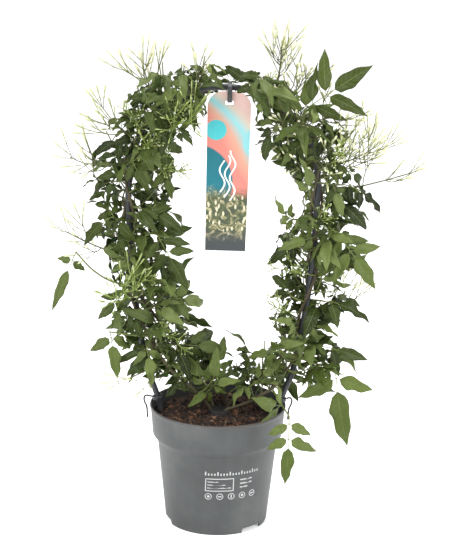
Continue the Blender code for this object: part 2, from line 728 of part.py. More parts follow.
def combine(made, others, operation, solver="EXACT"):
    # One Boolean of all the others, applied, with the others then removed.
    group = bpy.data.collections.new(made.name + "_tools")
    bpy.context.scene.collection.children.link(group)
    for other in others:
        bpy.context.scene.collection.objects.unlink(other)
        group.objects.link(other)
    boolean = made.modifiers.new("Combine", "BOOLEAN")
    boolean.operation = operation
    boolean.operand_type = "COLLECTION"
    boolean.collection = group
    boolean.solver = solver
    apply_modifiers(made)
    for other in others:
        bpy.data.objects.remove(other)
    bpy.data.collections.remove(group)


def spun(profile, segments, closed=False):
    # A profile of (radius, height) turned once round Z.
    bm = bmesh.new()
    points = [bm.verts.new((r * MM, 0, z * MM)) for r, z in profile]
    edges = [bm.edges.new(pair) for pair in zip(points, points[1:])]
    if closed:
        edges.append(bm.edges.new((points[-1], points[0])))
    whole_turn = dict(cent=(0, 0, 0), axis=(0, 0, 1), angle=2 * math.pi, steps=segments)
    bmesh.ops.spin(bm, geom=points + edges, use_merge=True, **whole_turn)
    bmesh.ops.remove_doubles(bm, verts=bm.verts, dist=1e-6)
    return bm


def shade_round(made):
    made.data.shade_smooth()
    made.data.set_sharp_from_angle(angle=math.radians(35))


def build_pot():
    inner_foot = BASE_RADIUS - POT_WALL
    inside_ledge = LEDGE_RADIUS - POT_WALL
    lip = RIM_RADIUS - 0.8
    profile = [
        (0, FLOOR_HEIGHT), (inner_foot, FLOOR_HEIGHT), (inner_foot - 0.2, 0), (BASE_RADIUS - 0.4, 0),
        (BASE_RADIUS, 1.2), (LEDGE_RADIUS, LEDGE_HEIGHT),
        (COLLAR_FOOT_RADIUS - 1.4, COLLAR_FOOT_HEIGHT - 2.8), (COLLAR_FOOT_RADIUS, COLLAR_FOOT_HEIGHT),
        (lip, POT_HEIGHT - 3.5), (RIM_RADIUS, POT_HEIGHT - 2.3),
        (RIM_RADIUS - 0.3, POT_HEIGHT), (RIM_RADIUS - 2, POT_HEIGHT), (lip - POT_WALL, POT_HEIGHT - 1.5),
        (COLLAR_FOOT_RADIUS - POT_WALL, COLLAR_FOOT_HEIGHT + 0.4),
        (COLLAR_FOOT_RADIUS - 2.5, COLLAR_FOOT_HEIGHT - 1.9), (inside_ledge, LEDGE_HEIGHT + 0.6),
        (inner_foot + 0.7, FLOOR_HEIGHT + POT_WALL), (0, FLOOR_HEIGHT + POT_WALL),
    ]
    pot = from_bmesh("pot", spun(profile, POT_SEGMENTS), "pot_plastic")
    cutters = []
    for angle in NOTCH_ANGLES:
        low = (BASE_RADIUS - 8, -NOTCH_WIDTH / 2, -2)
        high = (BASE_RADIUS + 6, NOTCH_WIDTH / 2, NOTCH_HEIGHT)
        notch = new_object("notch", box_shape(low, high))
        notch.data.transform(Matrix.Rotation(math.radians(angle), 4, "Z"))
        cutters.append(notch)
    centres = [(0, 0)]
    for k in range(DRAIN_COUNT):
        a = 2 * math.pi * (k + 0.5) / DRAIN_COUNT
        centres.append((DRAIN_RING_RADIUS * math.cos(a), DRAIN_RING_RADIUS * math.sin(a)))
    for x, y in centres:
        drain = [Vector((x, y, FLOOR_HEIGHT - 3)), Vector((x, y, FLOOR_HEIGHT + POT_WALL + 3))]
        cutters.append(new_object("drain", tapered(drain, DRAIN_RADIUS, DRAIN_RADIUS, 8)))
    combine(pot, cutters, "DIFFERENCE")
    shade_round(pot)


def soil_lumps(x, y):
    small = math.sin(x / 6.1 + 1.3) * math.cos(y / 7.3)
    return SOIL_LUMP * (0.6 * small + 0.4 * math.sin((x + 2 * y) / 9.7))


def build_soil(hoop, vines):
    clear = POT_WALL + GAP
    slope = (LEDGE_RADIUS - BASE_RADIUS) / (LEDGE_HEIGHT - 1.2)
    floor = FLOOR_HEIGHT + POT_WALL + GAP
    top_radius = COLLAR_FOOT_RADIUS - clear + (SOIL_EDGE_HEIGHT - COLLAR_FOOT_HEIGHT) * 0.08
    profile = [
        (0, floor), (BASE_RADIUS + slope * floor - clear - 0.3, floor),
        (LEDGE_RADIUS - clear - 0.1, LEDGE_HEIGHT + 0.8),
        (COLLAR_FOOT_RADIUS - 2.9, COLLAR_FOOT_HEIGHT - 1.5),
        (COLLAR_FOOT_RADIUS - clear - 0.1, COLLAR_FOOT_HEIGHT + 0.8), (top_radius, SOIL_EDGE_HEIGHT),
    ]
    for radius in reversed(SOIL_RINGS):
        profile.append((radius, SOIL_EDGE_HEIGHT + SOIL_CROWN * (1 - (radius / top_radius) ** 2)))
    bm = spun(profile, SOIL_SEGMENTS)
    for v in bm.verts:
        if v.co.z > (SOIL_EDGE_HEIGHT + 0.2) * MM:
            v.co.z += soil_lumps(v.co.x / MM, v.co.y / MM) * MM
    soil = from_bmesh("soil", bm, "peat_soil")
    cutters = []
    for route in vines.values():
        foot = [route[0] - UP * 3, *route[1:5]]
        cutters.append(new_object("hole", tapered(foot, VINE_FOOT_RADIUS + 0.6, VINE_FOOT_RADIUS + 0.6, 6)))
    for leg in (hoop, hoop[::-1]):
        foot = [leg[0] - (leg[1] - leg[0]).normalized() * 2, *leg[1:6]]
        cutters.append(new_object("hole", tapered(foot, HOOP_RADIUS + 0.6, HOOP_RADIUS + 0.6, 8)))
    combine(soil, cutters, "DIFFERENCE")
    shade_round(soil)


def build_clip(name, hand, hoop):
    own_side = [i for i in range(len(hoop) - 1) if hoop[i].x * hand > 0]
    leg = min(own_side, key=lambda i: abs(hoop[i].z - CLIP_HEIGHT))
    ahead = (hoop[leg + 1] - hoop[leg - 1]).normalized()
    centre = hoop[leg] + ahead * ((CLIP_HEIGHT - hoop[leg].z) / ahead.z)
    inner = HOOP_RADIUS + GAP + 0.9
    outer = inner + CLIP_COLLAR_WALL
    half = CLIP_COLLAR_LENGTH / 2
    bm = spun([(inner, -half), (outer, -half), (outer, half), (inner, half)], 8, closed=True)
    turn = UP.rotation_difference(ahead).to_matrix().to_4x4()
    bmesh.ops.transform(bm, matrix=Matrix.Translation(centre * MM) @ turn, verts=bm.verts)
    clip = from_bmesh(name, bm, "hoop_plastic")
    hook = [centre + Vector((hand * (outer - 0.7), 0, 0))]
    hook += [Vector((hand * x, 0, z)) for x, z in CLIP_HOOK]
    combine(clip, [new_object("hook", tapered(hook, CLIP_WIRE_RADIUS, CLIP_WIRE_RADIUS, 6))], "UNION")
    shade_round(clip)


def label_outline():
    top, foot = LABEL_TOP_WIDTH / 2, LABEL_FOOT_WIDTH / 2
    shoulder = LABEL_LENGTH - LABEL_CORNER
    outline = [(-foot, 0), (foot, 0)]
    for hand, angles in ((1, range(0, 91, 18)), (-1, range(90, -1, -18))):
        for a in map(math.radians, angles):
            x = top - LABEL_CORNER + LABEL_CORNER * math.cos(a)
            outline.append((hand * x, shoulder + LABEL_CORNER * math.sin(a)))
    return outline


def build_label():
    verts, count = [], len(label_outline())
    for y in (-LABEL_THICKNESS / 2, LABEL_THICKNESS / 2):
        verts += [Vector((x, y, z - LABEL_LENGTH)) for x, z in label_outline()]
    faces = [tuple(range(count)), tuple(range(2 * count - 1, count - 1, -1))]
    faces += [(k, k + count, (k + 1) % count + count, (k + 1) % count) for k in range(count)]
    label = new_object("label", (verts, faces), "label_card")
    slot_top = -SLOT_DROP
    low, high = (-SLOT_WIDTH / 2, -5, slot_top - SLOT_HEIGHT), (SLOT_WIDTH / 2, 5, slot_top)
    slot = new_object("slot", box_shape(low, high))
    combine(label, [slot], "DIFFERENCE")
    place = Matrix.Translation(Vector((LABEL_X, LABEL_Y, LABEL_TOP)) * MM)
    label.data.transform(place @ Matrix.Rotation(LABEL_LEAN, 4, "Y"))


def build_strap():
    loop = [Vector((0, y, z)) for y, z in STRAP_LOOP]
    count = len(loop)
    verts, faces = [], []
    for i, p in enumerate(loop):
        ahead = (loop[(i + 1) % count] - loop[i - 1]).normalized()
        out = ahead.cross(Vector((1, 0, 0)))
        for x, away in ((-1, 1), (1, 1), (1, -1), (-1, -1)):
            across = Vector((LABEL_X + x * STRAP_WIDTH / 2, 0, 0))
            verts.append(p + across + out * (away * STRAP_THICKNESS / 2))
    for i in range(count):
        for k in range(4):
            a, b = 4 * i + k, 4 * i + (k + 1) % 4
            c, d = 4 * ((i + 1) % count) + (k + 1) % 4, 4 * ((i + 1) % count) + k
            faces.append((a, b, c, d))
    strap = new_object("label_strap", (verts, faces), "hoop_plastic")
    bm = bmesh.new()
    bm.from_mesh(strap.data)
    bmesh.ops.recalc_face_normals(bm, faces=bm.faces)
    bm.to_mesh(strap.data)
    bm.free()


def build_shoot(name, plan):
    route, leaves = plan
    shoot = new_object(name, tapered(route, TWIG_RADIUS, TWIG_TIP_RADIUS, TWIG_SIDES), "leaf_green")
    blades = [new_object("leaf", thickened(*leaf_surface(leaf), LEAF_THICKNESS)) for leaf in leaves]
    if blades:
        combine(shoot, blades, "UNION")


def build_spray(name, plan):
    route, buds = plan
    spray = new_object(name, tapered(route, SPRAY_RADIUS, SPRAY_TIP_RADIUS, SPRAY_SIDES), "bud_cream")
    tubes = [new_object("bud", bud_shape(points)) for points in buds]
    if tubes:
        combine(spray, tubes, "UNION")


def main():
    for old in list(bpy.data.objects):
        bpy.data.objects.remove(old)
    hoop, vines, sprays, shoots = plan_plant()
    build_pot()
    build_soil(hoop, vines)
    shade_round(new_object("hoop", tapered(hoop, HOOP_RADIUS, HOOP_RADIUS, HOOP_SIDES), "hoop_plastic"))
    build_clip("rim_clip_right", 1, hoop)
    build_clip("rim_clip_left", -1, hoop)
    build_label()
    build_strap()
    for name, route in vines.items():
        vine = tapered(route, VINE_FOOT_RADIUS, VINE_TIP_RADIUS, VINE_SIDES)
        shade_round(new_object(name, vine, "vine_bark"))
    for name, plan in sprays.items():
        if plan:
            build_spray(name, plan)
    for name, plan in shoots.items():
        if plan:
            build_shoot(name, plan)
    for made in bpy.context.scene.objects:
        made.data.transform(Matrix.Translation(POT_PLACE * MM))


main()
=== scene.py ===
import math
import random

import bpy
from mathutils import Matrix, Quaternion, Vector, noise
from mathutils.bvhtree import BVHTree


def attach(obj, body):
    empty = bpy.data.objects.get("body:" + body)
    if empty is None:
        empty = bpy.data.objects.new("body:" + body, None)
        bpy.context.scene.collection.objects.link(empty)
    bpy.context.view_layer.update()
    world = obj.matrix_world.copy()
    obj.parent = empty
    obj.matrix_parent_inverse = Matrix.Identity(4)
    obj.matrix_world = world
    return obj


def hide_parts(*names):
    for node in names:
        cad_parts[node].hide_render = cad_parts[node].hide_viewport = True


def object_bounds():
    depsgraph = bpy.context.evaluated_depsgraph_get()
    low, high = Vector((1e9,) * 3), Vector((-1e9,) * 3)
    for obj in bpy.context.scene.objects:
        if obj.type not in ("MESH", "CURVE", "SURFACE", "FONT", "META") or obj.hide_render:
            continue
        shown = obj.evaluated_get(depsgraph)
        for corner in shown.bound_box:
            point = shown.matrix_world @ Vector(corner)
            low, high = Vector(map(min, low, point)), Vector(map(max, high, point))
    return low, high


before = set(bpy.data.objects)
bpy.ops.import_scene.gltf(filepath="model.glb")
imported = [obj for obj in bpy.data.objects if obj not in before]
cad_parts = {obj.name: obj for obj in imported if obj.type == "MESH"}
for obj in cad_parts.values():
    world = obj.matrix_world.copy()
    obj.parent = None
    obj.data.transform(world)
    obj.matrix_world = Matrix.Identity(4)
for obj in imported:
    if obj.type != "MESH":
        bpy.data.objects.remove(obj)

# Potted jasmine trained round a hoop. Sizes are in millimetres from the foot of the pot's axis,
# +X to the right and -Y to the viewer; sheetObject() and settle() turn them into the frame's metres.
# The plant is planned first: every leaf and bud is offered a place and takes it if there is room.
# The large shoots and sprays come out where the frame's solids are, and the small growth fills in.

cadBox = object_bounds()
mm = 0.001
potPlace = Vector((-14.5, 8.9, 0.0))  # the pot's axis in the frame
up = Vector((0, 0, 1))
front = Vector((0, -1, 0))
gap = 0.35
print("frame loaded:", len(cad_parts), "nodes")


# Small helpers

curveSteps = 12


def splinePoint(p0, p1, p2, p3, t):  # on a Catmull-Rom curve between p1 and p2
    return 0.5 * ((2 * p1) + (p2 - p0) * t + (2 * p0 - 5 * p1 + 4 * p2 - p3) * t * t
                  + (3 * p1 - p0 - 3 * p2 + p3) * t * t * t)


def smoothRoute(points, step):  # a smooth curve through the points, read again at even steps
    points = [Vector(p) for p in points]
    fine = []
    for i in range(len(points) - 1):
        p1, p2 = points[i], points[i + 1]
        p0 = points[i - 1] if i else p1 * 2 - p2
        p3 = points[i + 2] if i + 2 < len(points) else p2 * 2 - p1
        fine += [splinePoint(p0, p1, p2, p3, k / curveSteps) for k in range(curveSteps)]
    fine.append(points[-1])
    return evenSteps(fine, step)


def evenSteps(points, step):
    lengths = [(b - a).length for a, b in zip(points, points[1:])]
    count = max(2, round(sum(lengths) / step))
    spacing = sum(lengths) / count
    route, walked, i = [points[0].copy()], 0.0, 0
    for k in range(1, count):
        goal = k * spacing
        while walked + lengths[i] < goal:
            walked += lengths[i]
            i += 1
        route.append(points[i].lerp(points[i + 1], (goal - walked) / lengths[i]))
    route.append(points[-1].copy())
    return route


def turned(vector, axis, angle):
    return Quaternion(axis, angle) @ vector


def squareTo(vector, axis):
    flat = vector - axis * vector.dot(axis)
    return flat.normalized() if flat.length > 1e-6 else axis.orthogonal().normalized()


def jitter(rng, amount):
    return Vector((rng.uniform(-1, 1), rng.uniform(-1, 1), rng.uniform(-1, 1))) * amount


def tube(points, radii, sides):  # one radius too few makes it end in a point
    verts, faces = [], []
    normal = (points[1] - points[0]).normalized().orthogonal().normalized()
    for i, radius in enumerate(radii):
        ahead = points[min(i + 1, len(points) - 1)] - points[max(i - 1, 0)]
        ahead.normalize()
        normal = squareTo(normal, ahead)
        across = ahead.cross(normal)
        for k in range(sides):
            a = 2 * math.pi * k / sides
            verts.append(points[i] + (normal * math.cos(a) + across * math.sin(a)) * radius)
    for i in range(len(radii) - 1):
        for k in range(sides):
            a, b = i * sides + k, i * sides + (k + 1) % sides
            faces.append((a, b, b + sides, a + sides))
    faces.append(tuple(range(sides))[::-1])
    last = (len(radii) - 1) * sides
    if len(radii) == len(points):
        faces.append(tuple(range(last, last + sides)))
        return verts, faces
    verts.append(points[-1])
    faces += [(last + k, last + (k + 1) % sides, last + sides) for k in range(sides)]
    return verts, faces


def taper(points, start, end):  # a radius for each point
    steps = len(points) - 1
    return [start + (end - start) * i / steps for i in range(steps + 1)]


def tapered(points, start, end, sides, grow=0.0):
    return tube(points, [radius + grow for radius in taper(points, start, end)], sides)


def boxShape(low, high):
    xs, ys, zs = zip(low, high)
    verts = [Vector((x, y, z)) for x in xs for y in ys for z in zs]
    faces = [(0, 1, 3, 2), (4, 6, 7, 5), (0, 4, 5, 1), (2, 3, 7, 6), (0, 2, 6, 4), (1, 5, 7, 3)]
    return verts, faces


def coneShape(profile, segments):
    verts, faces = [], []
    for radius, height in profile:
        for k in range(segments):
            a = 2 * math.pi * k / segments
            verts.append(Vector((radius * math.cos(a), radius * math.sin(a), height)))
    for i in range(len(profile) - 1):
        for k in range(segments):
            a, b = i * segments + k, i * segments + (k + 1) % segments
            faces.append((a, b, b + segments, a + segments))
    return verts, faces


def thickened(verts, triangles, thickness):
    normals = [Vector() for _ in verts]
    edges = set()
    for a, b, c in triangles:
        n = (verts[b] - verts[a]).cross(verts[c] - verts[a])
        for i in (a, b, c):
            normals[i] += n
        edges |= {(a, b), (b, c), (c, a)}
    half = thickness / 2
    count = len(verts)
    solid = [v + n.normalized() * half for v, n in zip(verts, normals)]
    solid += [v - n.normalized() * half for v, n in zip(verts, normals)]
    faces = list(triangles) + [(c + count, b + count, a + count) for a, b, c in triangles]
    for a, b in sorted(edges):
        if (b, a) not in edges:
            faces += [(a + count, b + count, b), (a + count, b, a)]
    return solid, faces


# What the plan is drawn from. These values are the ones that the frame's solids were made with.

potSize = {
    "rimRadius": 68.4, "height": 122.0, "collarFootRadius": 65.4, "collarFootHeight": 93.0,
    "ledgeRadius": 60.4, "ledgeHeight": 86.0, "baseRadius": 51.2, "wall": 1.4, "floorHeight": 6.0,
    "notchHeight": 5.0, "notchWidth": 25.0, "notchAngles": (-45, -165, 75),
    "drainRadius": 4.0, "drainRing": 34.0, "drainCount": 4,
}
soilSize = {"edgeHeight": 110.0, "crown": 3.0, "lump": 1.5}
hoopSize = {
    "x": 1.5, "radius": 3.0, "step": 18.0, "archRadius": 92.5, "archHeight": 353.5,
    "leg": ((47.5, 50), (51, 76), (54, 91), (58.3, 107), (60.6, 123), (65.5, 138), (72.5, 156), (81.5, 205),
            (88.5, 260), (91.8, 315)),
}
clipSize = {
    "height": 128.0, "length": 4.0, "wall": 1.2, "wire": 0.9,
    "hook": ((72.4, 129.2), (74.4, 126.2), (73.6, 121.8), (71.6, 117), (70.8, 106)),
}
labelSize = {
    "x": 6.5, "y": -8.0, "top": 443.0, "length": 159.0, "topWidth": 42.0, "footWidth": 39.5, "corner": 15.0,
    "thickness": 0.8, "lean": math.radians(0.7), "slotWidth": 8.0, "slotHeight": 4.0, "slotDrop": 9.0,
}
strapSize = {
    "width": 4.5, "thickness": 1.0,
    "loop": ((-1.5, 450.1), (2.4, 449.6), (4.2, 446.5), (3.4, 442), (-1.5, 435.5), (-6, 432.9),
             (-9.5, 433.2), (-11.2, 436), (-11.2, 442), (-8.5, 446.8), (-5, 449.4)),
}
vineSize = {"footRadius": 1.7, "tipRadius": 1.0, "sides": 4, "step": 14.0, "pitch": 120.0, "clearance": 0.75}
vineRoutes = {
    "vine_left_front": dict(
        side="left", start=205, phase=225, endX=-9,
        free=((-5, -3, 78), (-5, -3, 100), (-8, -5, 118), (-22, -9, 137), (-45, -11, 158), (-64, -9, 182)),
    ),
    "vine_left_back": dict(
        side="left", start=235, phase=135, endX=-9,
        free=((-2, 5, 78), (-2, 5, 100), (-6, 7, 119), (-18, 11, 145), (-40, 12, 178), (-64, 9, 210)),
    ),
    "vine_right_front": dict(
        side="right", start=165, phase=225, endX=20,
        free=((4, -4, 78), (4, -4, 100), (8, -7, 117), (28, -10, 126), (54, -9, 142)),
    ),
    "vine_right_back": dict(
        side="right", start=195, phase=135, endX=20,
        free=((7, 4, 78), (7, 4, 100), (11, 7, 119), (32, 11, 137), (62, 9, 168)),
    ),
}
keepClear = (  # the hole in the wreath, and round the label
    ((4, -110, 194), (45, 110, 238)),
    ((-16, -110, 238), (45, 110, 282)),
    ((-25, -110, 282), (47, 110, 372)),
    ((-16, -110, 372), (29, -5, 436)),
)
shoots = {  # where each leaves its vine (x, z), its twig's end, its end leaf's tip, and its leaves
    "shoot_right_crest": ((75, 407), (80, -24, 431), (143, -30, 478), 3),
    "shoot_right_inner_top": ((62, 416), (52, -14, 408), (31, -26, 378), 2),
    "shoot_right_shoulder": ((84, 398), (94, -20, 400), (118, -38, 382), 2),
    "shoot_right_spray": ((94, 362), (118, -10, 354), (166, -18, 330), 2),
    "shoot_right_star": ((94, 318), (114, -22, 306), (153, -38, 253), 3),
    "shoot_right_front": ((93, 312), (94, -26, 306), (106, -48, 268), 2),
    "shoot_right_inner": ((90, 291), (76, -10, 290), (40, -14, 276), 2),
    "shoot_right_tiny": ((89, 302), (72, -10, 318), (44, -14, 336), 2),
    "shoot_right_mid": ((92, 288), (110, -16, 298), (157, -26, 326), 2),
    "shoot_right_inner_low": ((83, 232), (70, -12, 240), (40, -16, 262), 2),
    "shoot_right_low": ((86, 228), (104, -14, 236), (156, -24, 230), 3),
    "shoot_right_lower": ((80, 188), (96, -16, 190), (150, -24, 174), 2),
    "shoot_right_arching": ((75, 160), (116, -30, 172), (125, -44, 86), 3),
    "shoot_over_rim": ((60, 132), (70, -68, 134), (66, -80, 60), 2),
    "shoot_right_back_high": ((92, 335), (98, 24, 344), (116, 66, 338), 2),
    "shoot_right_back_low": ((86, 240), (92, 24, 246), (110, 66, 240), 2),
    "shoot_left_crest": ((-55, 428), (-64, -10, 437), (-94, -18, 438), 2),
    "shoot_left_shoulder": ((-80, 388), (-94, -14, 394), (-130, -22, 390), 3),
    "shoot_left_front_high": ((-86, 372), (-86, -22, 376), (-70, -46, 350), 2),
    "shoot_left_high": ((-89, 345), (-104, -12, 352), (-138, -20, 346), 2),
    "shoot_left_hanging": ((-84, 368), (-58, -14, 366), (-42, -20, 332), 1),
    "shoot_left_outer": ((-90, 318), (-106, -14, 318), (-142, -22, 298), 3),
    "shoot_left_inner": ((-90, 326), (-72, -14, 325), (-34, -24, 304), 2),
    "shoot_left_drooping": ((-88, 300), (-62, -24, 304), (-24, -42, 252), 3),
    "shoot_left_far": ((-87, 256), (-142, -8, 280), (-170, -12, 212), 1),
    "shoot_left_mid": ((-84, 236), (-94, -16, 236), (-122, -28, 210), 2),
    "shoot_left_reaching": ((-78, 222), (-48, -14, 236), (2, -20, 232), 2),
    "shoot_left_arching": ((-75, 196), (-108, -20, 202), (-94, -42, 156), 3),
    "shoot_left_front_low": ((-73, 188), (-72, -24, 188), (-62, -46, 154), 2),
    "shoot_left_low_inner": ((-62, 176), (-34, -14, 188), (19, -22, 186), 2),
    "shoot_left_back_high": ((-90, 325), (-96, 24, 334), (-114, 66, 330), 2),
    "shoot_left_back_low": ((-80, 215), (-86, 24, 222), (-104, 66, 216), 2),
    "shoot_crown_left": ((-25, 143), (-36, -18, 156), (-52, -38, 138), 2),
    "shoot_crown_middle": ((-12, 130), (-6, -16, 146), (16, -36, 162), 2),
    "shoot_crown_right": ((22, 128), (38, -14, 150), (63, -24, 180), 2),
    "shoot_crest_left": ((-14, 446), (-12, -10, 451), (-42, -18, 452), 2),
    "shoot_crest_right": ((24, 444), (22, -10, 451), (52, -18, 450), 2),
}
sprays = {  # where each leaves its vine (x, z), how far it reaches, and its buds
    "spray_left_crest": ((-68, 420), (-14, -12, 37), 9),
    "spray_left_shoulder": ((-86, 392), (-18, -14, 18), 6),
    "spray_left_high": ((-90, 365), (-34, -12, 4), 6),
    "spray_crest": ((-8, 448), (-2, -8, 10), 4),
    "spray_right_crest": ((60, 420), (8, -24, 46), 10),
    "spray_right_high": ((92, 372), (46, -14, 20), 10),
    "spray_right_far": ((94, 350), (84, -8, 24), 6),
    "spray_left_far": ((-87, 268), (-60, -20, 28), 6),
    "spray_left_front": ((-83, 234), (-8, -38, 26), 8),
    "spray_left_inner_top": ((-56, 414), (26, -28, -4), 7),
    "spray_right_low": ((86, 216), (44, -12, 22), 4),
    "spray_left_low": ((-68, 168), (-34, -18, -14), 4),
}
leafSize = {
    "petiole": 7.0, "pairSpacing": 15.0, "pairBase": 1.6, "tipStalk": 5.0, "rachisWidth": 1.1,
    "thickness": 0.7, "twoPairLength": 54.0, "pairAngle": math.radians(60),
    "tip": (45.0, 15.0), "sides": ((26.0, 10.5), (29.0, 11.5)),
    "droop": (0.3, 1.0), "tipCurl": (0.4, 1.3), "sideCurl": (0.3, 1.1),
    "smallest": 0.42, "tries": 36, "clearance": 0.45,
}
leafKinds = {  # the side leaflets' length, all widths and all bends as shares of the usual, and the pairs
    "shoot_right_crest": (1.5, 1.05, 0.4, 2), "shoot_right_arching": (1.05, 0.9, 0.35, 1),
    "shoot_over_rim": (0.95, 0.95, 0.3, 2), "shoot_left_far": (0.45, 0.55, 0.3, 1),
    "shoot_left_drooping": (1.3, 1.0, 0.5, 2), "shoot_right_star": (1.3, 1.1, 0.5, 2),
}
twigSize = {"radius": 1.1, "tipRadius": 0.75, "sides": 4, "steps": 3}
spraySize = {
    "radius": 0.85, "tipRadius": 0.6, "sides": 4, "steps": 4, "tries": 12, "room": 0.45,
    "pedicelRadius": 0.5, "pedicelLength": (7.0, 15.0),
    "budRadius": 1.35, "budSides": 3, "budLength": (15.0, 21.0),
}
branching = {  # how a side stem looks for its start on a vine, and how it bows
    "search": 30.0, "first": 4, "twined": 4, "facing": 12, "rounds": 6, "bow": 0.3, "lean": 0.2,
}


# Leaves as the plan sees them

def bladeWidth(t):  # widest at 0.3, with a long drawn-out tip
    return 2.754 * math.sqrt(t) * (1 - t) ** 1.15


def bladePoint(blade, t, q):
    base, along, face, length, width, curl, fold = blade
    bend = curl * t
    middle = base + along * (length * math.sin(bend) / curl) - face * (length * (1 - math.cos(bend)) / curl)
    rise = face * math.cos(bend) + along * math.sin(bend)
    half = 0.5 * width * bladeWidth(t)
    return middle + along.cross(face) * (q * half * math.cos(fold)) + rise * (abs(q) * half * math.sin(fold))


def leafSkeleton(root, along, face, size, pairs, droop, kind, rng):
    side = along.cross(face)
    ends = [0]
    for pair in range(pairs):
        ends += [leafSize["petiole"] + leafSize["pairSpacing"] * pair,
                 leafSize["petiole"] + leafSize["pairSpacing"] * pair + leafSize["pairBase"]]
    ends.append(ends[-1] + leafSize["tipStalk"])
    total = ends[-1] * size
    rows = []
    for distance in ends:
        u = distance * size
        bend = droop * u / total
        sunk = total * (1 - math.cos(bend)) / droop
        centre = root + along * (total * math.sin(bend) / droop) - face * sunk
        ahead = along * math.cos(bend) - face * math.sin(bend)
        rows.append((centre, ahead, face * math.cos(bend) + along * math.sin(bend)))
    longer, wider, calm = kind
    blades = []
    for pair, (length, width) in enumerate(leafSize["sides"][-pairs:]):
        low, high = rows[1 + 2 * pair], rows[2 + 2 * pair]
        for hand in (1, -1):
            forward = turned(low[1], low[2], -hand * (leafSize["pairAngle"] + rng.uniform(-0.15, 0.15)))
            sink = rng.uniform(0.1, 0.8) * calm
            heading = forward * math.cos(sink) - low[2] * math.sin(sink)
            facing = low[2] * math.cos(sink) + forward * math.sin(sink)
            base = (low[0] + high[0]) / 2 + side * (hand * leafSize["rachisWidth"] / 2)
            grow = size * rng.uniform(0.85, 1.1)
            bends = (rng.uniform(*leafSize["sideCurl"]) * calm, rng.uniform(0.1, 0.4))
            blade = (base, heading, facing, length * longer * grow, width * wider * grow, *bends)
            blades.append((hand, 1 + 2 * pair, blade))
    tip = rows[-1]
    grow = size * rng.uniform(0.92, 1.08)
    bends = (rng.uniform(*leafSize["tipCurl"]) * calm, rng.uniform(0.12, 0.4))
    blade = (*tip, leafSize["tip"][0] * grow, leafSize["tip"][1] * wider * grow, *bends)
    blades.append((0, len(rows) - 1, blade))
    return side, rows, blades


def leafSurface(skeleton, firstRow=0):
    side, rows, blades = skeleton
    verts, triangles = [], []
    for centre, _, _ in rows[firstRow:]:
        half = side * (leafSize["rachisWidth"] / 2)
        verts += [centre - half, centre + half]
    for i in range(len(rows) - firstRow - 1):
        a = 2 * i
        triangles += [(a, a + 1, a + 3), (a, a + 3, a + 2)]
    for hand, row, blade in blades:
        low = 2 * (row - firstRow)
        start, end = {1: (low + 3, low + 1), -1: (low, low + 2), 0: (low, low + 1)}[hand]
        n = len(verts)
        if hand:
            verts += [bladePoint(blade, 0.34, 1), bladePoint(blade, 0.34, -1), bladePoint(blade, 1, 0)]
            triangles += [(start, end, n), (start, n, n + 1), (n + 1, n, n + 2)]
            continue
        for t in (0.25, 0.62):
            verts += [bladePoint(blade, t, q) for q in (-1, 0, 1)]
        verts.append(bladePoint(blade, 1, 0))
        triangles += [(start, end, n + 2), (start, n + 2, n + 1), (start, n + 1, n)]
        triangles += [(n, n + 1, n + 4), (n, n + 4, n + 3), (n + 1, n + 2, n + 5), (n + 1, n + 5, n + 4)]
        triangles += [(n + 3, n + 4, n + 6), (n + 4, n + 5, n + 6)]
    return verts, triangles


# Planning: what is already there, and what still finds room

class Space:
    def __init__(self, boxes):
        self.taken = []
        self.boxes = [(Vector(low), Vector(high)) for low, high in boxes]

    def add(self, shape, owner):
        self.taken.append((*self.extent(shape[0]), BVHTree.FromPolygons(*shape), owner))

    def extent(self, verts):
        low = Vector(min(v[i] for v in verts) for i in range(3))
        high = Vector(max(v[i] for v in verts) for i in range(3))
        return low, high

    def hasRoom(self, shape, besides=None):
        verts, faces = shape
        low, high = self.extent(verts)
        for boxLow, boxHigh in self.boxes:
            if all(low[i] < boxHigh[i] and high[i] > boxLow[i] for i in range(3)):
                box = BVHTree.FromPolygons(*boxShape(boxLow, boxHigh))
                if BVHTree.FromPolygons(verts, faces).overlap(box):
                    return False
                if all(boxLow[i] < verts[0][i] < boxHigh[i] for i in range(3)):
                    return False
        tree = None
        for otherLow, otherHigh, other, owner in self.taken:
            if owner == besides or any(low[i] > otherHigh[i] or high[i] < otherLow[i] for i in range(3)):
                continue
            tree = tree or BVHTree.FromPolygons(verts, faces)
            if tree.overlap(other):
                return False
        return True


def hoopRoute():
    x, radius, height = hoopSize["x"], hoopSize["archRadius"], hoopSize["archHeight"]
    half = [(x - legX, 0, z) for legX, z in hoopSize["leg"]]
    for a in map(math.radians, range(0, 90, 15)):
        half.append((x - radius * math.cos(a), 0, height + radius * math.sin(a)))
    otherHalf = [(2 * x - halfX, y, z) for halfX, y, z in reversed(half)]
    return smoothRoute([*half, (x, 0, height + radius), *otherHalf], hoopSize["step"])


